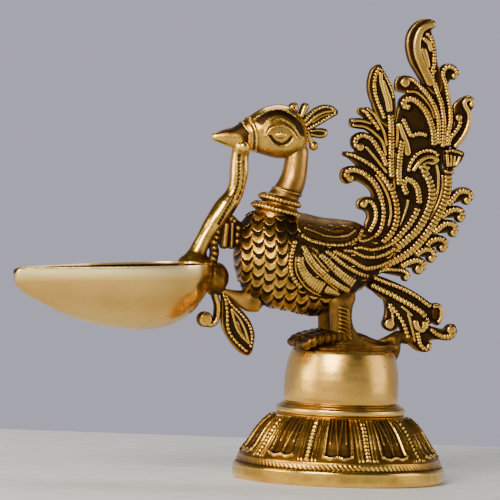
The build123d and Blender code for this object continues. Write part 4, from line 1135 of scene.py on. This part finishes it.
# Each tail piece: its CAD node, half the thickness of its plate, the plate's outlines, and its strands
TAIL = {
    "tail_fan": (1.3, [
        [(8, 70.5), (13, 72.6), (18, 74.2), (22.5, 77.2), (27, 81.2), (31, 85.8), (34, 90.8), (36, 96),
         (36.4, 101), (36.2, 106.4), (33.4, 108.6), (33.2, 113), (35.6, 118), (36, 126), (35, 133),
         (33.4, 138.6), (29.6, 140.4), (27, 140), (24, 137.6), (20, 134.4), (17.4, 132.4), (16.2, 128),
         (15.4, 124), (13.2, 125), (12.4, 118), (12.6, 110), (13.6, 105), (16, 100), (17, 93), (15.6, 88.4),
         (12, 84.6), (7, 83.2), (5, 79), (6, 74)],
    ], [
        ("main", {}, [(9, 73.4), (11.4, 74.2), (15.2, 75.3), (19.6, 77.5), (24, 80.8), (27.3, 84.6),
         (30, 88.4), (32.2, 92.3), (33.9, 96.1), (34.9, 99.6), (35.2, 102.8), (35, 106.4)]),
        ("plain", {}, [(33.2, 106), (33.4, 102.4), (32.8, 98.8), (31.4, 95), (29.2, 91)]),
        ("main", {}, [(9.8, 77.2), (13.6, 78.6), (18.5, 81.3), (21.8, 84.1), (24.6, 86.8), (26.7, 90.1),
         (28.4, 93.9), (29.4, 97.7), (29.2, 101.6), (28, 104.8), (26.6, 107), (27.2, 109.4)]),
        ("beads", dict(half=0.75), [(20.7, 107), (21.3, 109.8), (23.5, 113), (26.7, 114.5), (29.6, 114.2),
         (31.4, 112.8)]),
        ("bright", dict(half=0.8, lift=1.8), [(22.6, 107.8), (24.2, 110), (26.4, 111.9),
         (28.9, 112.4), (30.9, 111.4), (29.4, 110.4), (27.4, 110.2), (25, 108.6)]),
        ("plain", {}, [(30.8, 109.6), (31.6, 106), (31.6, 101), (30.6, 96.6), (28.8, 92.4), (26, 88)]),
        ("ribs", {}, [(20.5, 99.2), (19.5, 101), (19.2, 103), (20.4, 104.3), (22.4, 103.5), (24.2, 101.2),
         (24.8, 98), (25, 96.2)]),
        ("main", dict(half=1.2), [(24.7, 94.6), (23.5, 91.8), (21.8, 89), (19.6, 86.3), (16.9, 83.2),
         (13.6, 80.8), (9.6, 79.2)]),
        ("plain", dict(tip=0.3), [(21, 97), (20.6, 94.6), (19.6, 91.2), (18.6, 88.4)]),
        ("main", dict(half=1.2), [(5.6, 80.6), (8.7, 80.4), (11.4, 81.6), (14.2, 84.1), (16.1, 86.9),
         (17.1, 90.6), (16.9, 95), (15.3, 99.9), (13.6, 102.6)]),
        ("plain", {}, [(9.4, 105.2), (12, 101.6), (14.2, 97), (15, 92.4), (14.4, 88.4)]),
        ("ribs", {}, [(17.6, 102.4), (17.2, 106), (17.3, 110), (17.6, 114), (18.2, 117.6)]),
        ("plain", {}, [(15.8, 100.6), (15.7, 104.6), (15.7, 109), (15.9, 113)]),
        ("ribs", {}, [(14.8, 105), (14.4, 109.4), (14.2, 115.5), (13.9, 121.4), (13.4, 126.4)]),
        ("ribs", dict(half=0.95), [(18, 125.2), (19.5, 122.2), (21.2, 119.6), (24, 120.3), (26.8, 119.8)]),
        ("plain", dict(dull=0.05, half=0.9, tip=1.3), [(17, 123), (18.2, 120), (19.4, 117), (20.2, 113.6)]),
        ("plain", {}, [(16.2, 123), (16.3, 119.4), (16.2, 115.6)]),
        ("ribs", {}, [(20.2, 129.2), (18.2, 129.8), (18.4, 131.4), (20.8, 132.1), (23.5, 130.7),
         (26.1, 128), (27.8, 124.8), (29.1, 120.9), (29.6, 116.4)]),
        ("ribs", dict(half=1.0), [(24, 136.3), (26.7, 133.5), (28.9, 130.3), (30.5, 126.4), (31.1, 122.4),
         (31.2, 117)]),
        ("ribs", dict(half=1.0), [(28.9, 138.2), (30, 134.8), (31.6, 131.3), (32.5, 127), (32.9, 122.6),
         (32.8, 116)]),
        ("plain", {}, [(19.6, 134.7), (22.4, 134.6), (25.4, 132.6), (28, 129.4), (29.4, 126)]),
        ("ribs", dict(half=0.95), [(35, 129.4), (35.2, 125), (34.6, 120.6), (34.4, 116.4)]),
        ("beads", dict(half=0.9), [(6.2, 83), (8.3, 83.4), (10.9, 85.8), (12.1, 89.4), (12.2, 93.4),
         (11.4, 97.2)]),
    ]),
    "tail_leaf_plume": (1.62, [
        [(9, 143.8), (6.5, 142), (5.5, 139), (5.2, 136), (5.9, 132.5), (7, 130), (7.8, 127.5), (10, 124),
         (13.5, 122), (15.6, 126), (15.4, 131), (14.6, 134.4), (12.6, 138), (10.6, 141.6)],
    ], [
        ("fine", {}, [(8.9, 142.6), (7.8, 140.4), (7.3, 137.6), (7.5, 134.4), (8.5, 131.2), (9.9, 128.2),
         (11.4, 125)]),
        ("fine", dict(half=0.45), [(9.4, 142.2), (10.9, 140), (12.3, 137.6), (13.7, 135), (14.4, 132)]),
        ("bright", dict(lift=1.7, half=0.85), [(9.3, 140.4), (9.7, 137.4), (10.6, 134.6),
         (11.8, 131.4), (12.6, 128)]),
        ("bright", dict(lift=1.7), [(10.4, 137.8), (11.9, 134.6), (13.2, 131.2), (13.6, 128)]),
    ]),
    "tail_top_plume": (1.75, [
        [(24.6, 138), (22.6, 141), (20, 145), (18.6, 150), (18.8, 154), (20.4, 157.2), (23, 159.4),
         (26, 160.1), (28.1, 159.3), (28.4, 157.6), (27.2, 156), (28.4, 152), (29.3, 148.5), (29.9, 145),
         (31.4, 141), (32, 136), (29, 134)],
    ], [
        ("bright", dict(half=1.3, tip=1.7, lift=1.9), [(27.2, 158.2), (25, 157.4), (23.2, 155.8),
         (22.3, 153.4), (22, 150.6), (22.5, 147.4), (23.9, 144.2), (25.6, 141.2), (27.2, 138.4)]),
        ("bright", dict(half=1.3, tip=1.0, lift=1.9), [(24.4, 148.9), (25.4, 146.4), (26.2, 143.8)]),
        ("bright", dict(half=0.9, lift=1.9), [(24.6, 153), (26.2, 151.6), (27, 149.4)]),
        ("ribs", dict(half=0.85, lift=1.9), [(25.2, 155), (27, 153.4), (27.9, 150.6), (28.4, 147.4),
         (28.4, 144.4), (27.8, 141.6)]),
        ("fine", dict(half=0.8, lift=1.8), [(28.9, 142.6), (28, 140.6), (28.6, 138), (29.8, 135.4)]),
    ]),
    "tail_upper_scrolls": (1.12, [
        [(15.2, 134.6), (14.9, 137), (15.6, 139.2), (18, 140.3), (21, 139.7), (24, 137.6), (27, 134.6),
         (26, 132.6), (22, 134.6), (19, 134)],
        [(32, 138), (31.4, 141.6), (33, 144.4), (36, 144.2), (37, 142), (35.4, 139.8), (34, 138)],
    ], [
        ("ribs", dict(half=0.9, knob=1.1), [(36, 140.7), (36.9, 141.8), (35.7, 143.3), (33.4, 143.7),
         (32, 142.2), (32, 140.2), (33.2, 137.2), (34, 133.2), (34.8, 129.6), (35.2, 126)]),
        ("ribs", dict(half=0.75, knob=1.75), [(18.3, 137.7), (19.4, 139), (21.4, 138.5), (24, 136.3),
         (26.4, 133.8)]),
    ]),
    "tail_left_leaves": (1.05, [
        [(2, 128.2), (4.4, 128.7), (6.6, 127.6), (9.5, 125), (12.4, 121.4), (14, 116), (13.4, 110),
         (11, 112.5), (8, 117.6), (5.6, 120.6), (2, 121.2), (0, 121.6), (-0.9, 123), (0.4, 124.4),
         (3, 124.8), (5.2, 124.4), (3.6, 125.4), (2, 126.6)],
    ], [
        ("ribs", dict(half=0.75), [(3.2, 127.6), (4.8, 126.8), (6, 125.3), (8.1, 123.1), (9.6, 121)]),
        ("plain", {}, [(5.4, 128), (7.8, 126.2), (9.9, 123), (11.6, 119.8), (12.6, 116)]),
        ("plain", dict(half=0.6), [(0, 123.9), (3.2, 124), (6.4, 123.3)]),
        ("plain", dict(half=0.6), [(0.5, 122.4), (4.7, 121.9), (8, 119.9), (10.9, 117), (12.4, 112.6)]),
    ]),
    "tail_left_scrolls": (1.18, [
        [(-3, 112.3), (1.6, 113.4), (0.2, 116.5), (1.8, 119.3), (4.6, 120.1), (9, 118), (12, 114),
         (14, 108), (17, 102), (18.5, 96), (17, 88), (12, 83), (7, 83.5), (6, 88), (6.8, 91), (5.6, 93),
         (3.4, 93.6), (2.8, 95.6), (4.2, 97.4), (6.6, 98), (8.2, 97.8), (7.6, 99.8), (5.4, 101.8),
         (3, 102.9), (0.8, 102.9), (-1, 101.9), (-3, 103.2), (-3.4, 105.6), (-2.2, 107.6), (0.6, 108.4),
         (2.4, 108.3), (0, 110.4)],
    ], [
        ("curl", dict(half=1.0, knob=1.5), [(3, 114.9), (1.5, 115.4), (1.4, 117.6), (3.8, 118.9),
         (6.8, 117.8), (9.2, 114.9), (11.2, 112), (12.6, 108.8)]),
        ("plain", {}, [(5.4, 114.8), (7.6, 112.4), (10.2, 109.6), (12.8, 106.6)]),
        ("main", dict(half=0.7, tip=1.15), [(-2, 112.4), (0.4, 112), (3.2, 110.9), (6, 109.5), (8.7, 107.6),
         (12.4, 103.8), (14.8, 100.4)]),
        ("curl", dict(half=1.1, pitch=1.25, knob=1.4), [(-0.2, 104), (-1.5, 104.8), (-1, 106.5), (1.2, 107),
         (4.3, 106), (7.6, 103.6), (9.8, 100.8), (11.4, 97.2)]),
        ("curl", dict(half=0.85), [(5, 95.2), (5.6, 96.1), (7.6, 96.1), (9.1, 93.9), (9.5, 90.6),
         (8.2, 87.3), (6.4, 84.8)]),
    ]),
    "tail_cuff": (1.9, [
        [(33.2, 114.4), (36, 115.3), (39.8, 114.9), (40.7, 113.8), (39.8, 111.2), (37.4, 108.9),
         (34.4, 109), (33.2, 111.6)],
    ], [
        ("fine", dict(half=0.6, lift=2.1), [(33.8, 114.3), (35.6, 114.8), (38, 114.5), (40, 113.8)]),
        ("bright", dict(lift=2.2), [(34.3, 113.2), (34.5, 111.4), (34.8, 109.6)]),
        ("bright", dict(lift=2.2, half=0.4), [(35.8, 113), (35.9, 111.2), (35.9, 109.6)]),
        ("bright", dict(lift=2.2, half=0.4), [(37.2, 112.8), (37.1, 111.2), (36.9, 109.8)]),
        ("bright", dict(lift=2.2), [(38.8, 112.6), (38.4, 111.2), (37.8, 110)]),
        ("bright", dict(lift=2.0, half=0.75), [(34.2, 107.6), (35.4, 107.2), (36.4, 107.6)]),
        ("beads", {}, [(35.1, 106.4), (35.2, 103.4)]),
    ]),
    "tail_right_scrolls": (1.22, [
        [(35, 116), (37, 116.4), (39.6, 118.6), (41.8, 121.6), (42.8, 125), (42.4, 128), (43.4, 129.6),
         (44, 131.4), (43.2, 133.2), (41, 133.9), (38.6, 132.8), (36.6, 130.8), (36.4, 128.6), (36.8, 126),
         (36.4, 123), (35.2, 119)],
    ], [
        ("curl", dict(half=0.85), [(38.2, 126.3), (38.7, 124.2), (37.2, 121.5), (35.4, 119), (34.8, 116.6)]),
        ("bright", dict(half=0.9, lift=1.7), [(42.6, 131), (43, 132), (41.6, 133), (40.2, 132),
         (40.3, 130.4), (41.6, 128.4), (42.1, 125.8), (41.3, 122.4), (39.7, 119.3), (37.5, 116.6)]),
    ]),
    "tail_edge_scrolls": (1.34, [], [
        ("curl", {}, [(42.4, 97.8), (43.5, 98.8), (43.2, 100.2), (41.3, 101), (38.9, 100.2), (37.1, 97.9),
         (35.4, 96)]),
        ("curl", {}, [(40.2, 91.6), (41, 92.8), (39.9, 94.2), (37.8, 94.4), (35.4, 93.4), (33.2, 91.6)]),
        ("curl", {}, [(38, 86.4), (38.6, 87.8), (37.4, 89.3), (35, 89.4), (32.8, 88), (30.8, 86)]),
        ("curl", {}, [(34.1, 81), (35.2, 82.2), (34.6, 83.4), (32.8, 84.1), (30.2, 83.4), (28.4, 81.6)]),
        ("curl", {}, [(30.3, 77.3), (31.2, 78.4), (30.6, 79.6), (28.9, 80.4), (26.6, 79.8), (24.6, 78.2)]),
        ("curl", dict(knob=1.6), [(25.9, 73.4), (27.4, 74.4), (27, 75.8), (24.8, 76.5), (22.4, 75.8),
         (19.4, 74.2)]),
        ("curl", dict(half=0.75, knob=1.0), [(21.3, 70.3), (22, 71.4), (20.7, 72.5), (18, 73), (14.2, 73),
         (11, 72.2)]),
    ]),
    "tail_spray": (1.42, [
        [(7.6, 71.6), (13, 70.4), (20, 67.8), (26, 64.9), (31, 61.8), (34, 61), (35.5, 58.5), (35, 55.5),
         (33.6, 54), (32.6, 54.4), (31, 54.8), (30.4, 53.6), (28.6, 51.2), (26, 51.6), (24.6, 53.6),
         (24.2, 56.4), (20.4, 60.2), (18, 61.6), (14.2, 62.2), (10, 65.2), (7, 67.4)],
        [(14, 62.6), (14.6, 59), (14.2, 56), (13.6, 53.8), (16.2, 51.6), (18.6, 52), (19.6, 53.4), (21, 51),
         (22, 48.6), (24.4, 46.6), (27, 45), (30.4, 44.9), (31.6, 46.6), (30.6, 48.4), (34, 49.2), (38, 49),
         (40.6, 51.4), (40, 54.4), (37.6, 54.6), (36, 53), (33, 53.4), (29, 54.6), (25, 57.4), (21, 60.2),
         (17.4, 62.4)],
    ], [
        ("beads", dict(half=0.85), [(30.6, 60.5), (28.4, 61.9), (25.8, 63.7), (22.4, 65.5), (18.8, 67),
         (14.4, 68.4), (9.6, 70.2)]),
        ("plain", dict(dull=0.62, half=1.7), [(32.4, 58.6), (32.6, 57.4)]),
        ("plain", dict(dull=0.05, half=0.75, tip=0.9, lift=1.9), [(31.8, 60.6), (33.3, 60.8), (34.4, 59.4),
         (34.3, 57.2), (33.7, 55.6)]),
        ("main", dict(half=1.1), [(28.9, 57), (27.2, 58.6), (24.9, 60), (22.6, 61.3), (19.1, 63),
         (15.6, 64.7), (12.8, 65.8), (8.8, 67.6)]),
        ("ribs", dict(half=0.75), [(29.2, 56.8), (29.8, 54.8), (29, 52.8)]),
        ("plain", dict(dull=0.05, half=1.15, lift=1.7), [(25.3, 54.9), (25.9, 53.3), (27.2, 52.5),
         (28.4, 53), (28.6, 54.6)]),
        ("beads", dict(half=0.9), [(22.9, 49.4), (21.9, 52), (20.6, 54.8), (18.8, 57.4), (17.2, 59.3),
         (15.4, 61.2)]),
        ("fine", dict(half=0.65, knob=1.9), [(15.9, 54.2), (17, 56.4), (16.4, 58.6), (15.4, 60.4)]),
        ("ribs", dict(half=1.15, tip=0.9, knob=1.75), [(38.4, 52.6), (39, 51.2), (37.2, 50.3), (34.8, 50.5),
         (32.6, 51.5), (30.8, 52.8)]),
        ("ribs", dict(half=0.95, knob=1.0), [(30.6, 47), (29.8, 46), (28.4, 46.2), (27.2, 47.6),
         (26.6, 49.6), (26, 51.6)]),
        ("plain", {}, [(22.6, 57.6), (23.6, 54.8), (24.6, 51.6), (25.4, 48.6)]),
        ("plain", {}, [(20.4, 60.2), (22.2, 58.8), (23.8, 57.4)]),
    ]),
}


def make_tail():
    """The fan and its plumes, scrolls and spray, one flat casting for each node."""
    for node, (thickness, grounds, strands) in TAIL.items():
        lines = [points for _, _, points in strands]
        ends = np.array([corner for line in grounds + lines for corner in line])
        low, high = ends.min(0) - 2.6, ends.max(0) + 2.6
        block = Block((low[0], -4, low[1]), (high[0], 3.8, high[1]), FINE)
        relief = Relief(block)
        for outline in grounds or lines:
            relief.ground(outline)
        for style, changes, points in strands:
            relief.strand(points, **{**STYLES[style], **changes})
        cast_flat(node, block, relief, 0.3, thickness, edge=0.38)


def make_tail_brace():
    """The dark strut below the tail, brazed to the drum's top edge."""
    block = Block((11, -4.5, 39), (27, 4.5, 54), SMOOTH)
    run = rod(block, [(13.6, 0, 47.6), (17, 0, 48.6), (20.4, 0, 49.8), (24, 0, 49)],
              [1.4, 1.9, 2.3, 1.9], 1.5)
    weld = rod(block, [(18.4, -1, 48.4), (18.6, -1.4, 45.4), (18.4, -1.2, 42.6), (18, -1, 41.4)],
               [1.9, 1.7, 1.1, 0.5], 1.0)
    cast("tail_brace", block, smooth_min(run, weld, 1.0), "sooty", 1.2, 0.4, 0.45)


def dress_hidden_nodes():
    """The stud and nut inside the drum keep their CAD shapes and get the polished finish."""
    for node in ("mounting_stud", "mounting_nut"):
        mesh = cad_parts[node].data
        mesh.materials.clear()
        mesh.materials.append(finishes["polished"][1])


make_camera()
make_room()
make_lights()
make_floor()
finishes = make_materials()
make_pedestal()
make_body()
make_legs()
make_foot_plate()
make_neck()
make_neck_rings()
make_head()
make_beak()
make_crest()
make_bowl()
make_stalk()
make_clasp()
make_boss_and_strut()
make_pendants()
make_tail()
make_tail_brace()
dress_hidden_nodes()
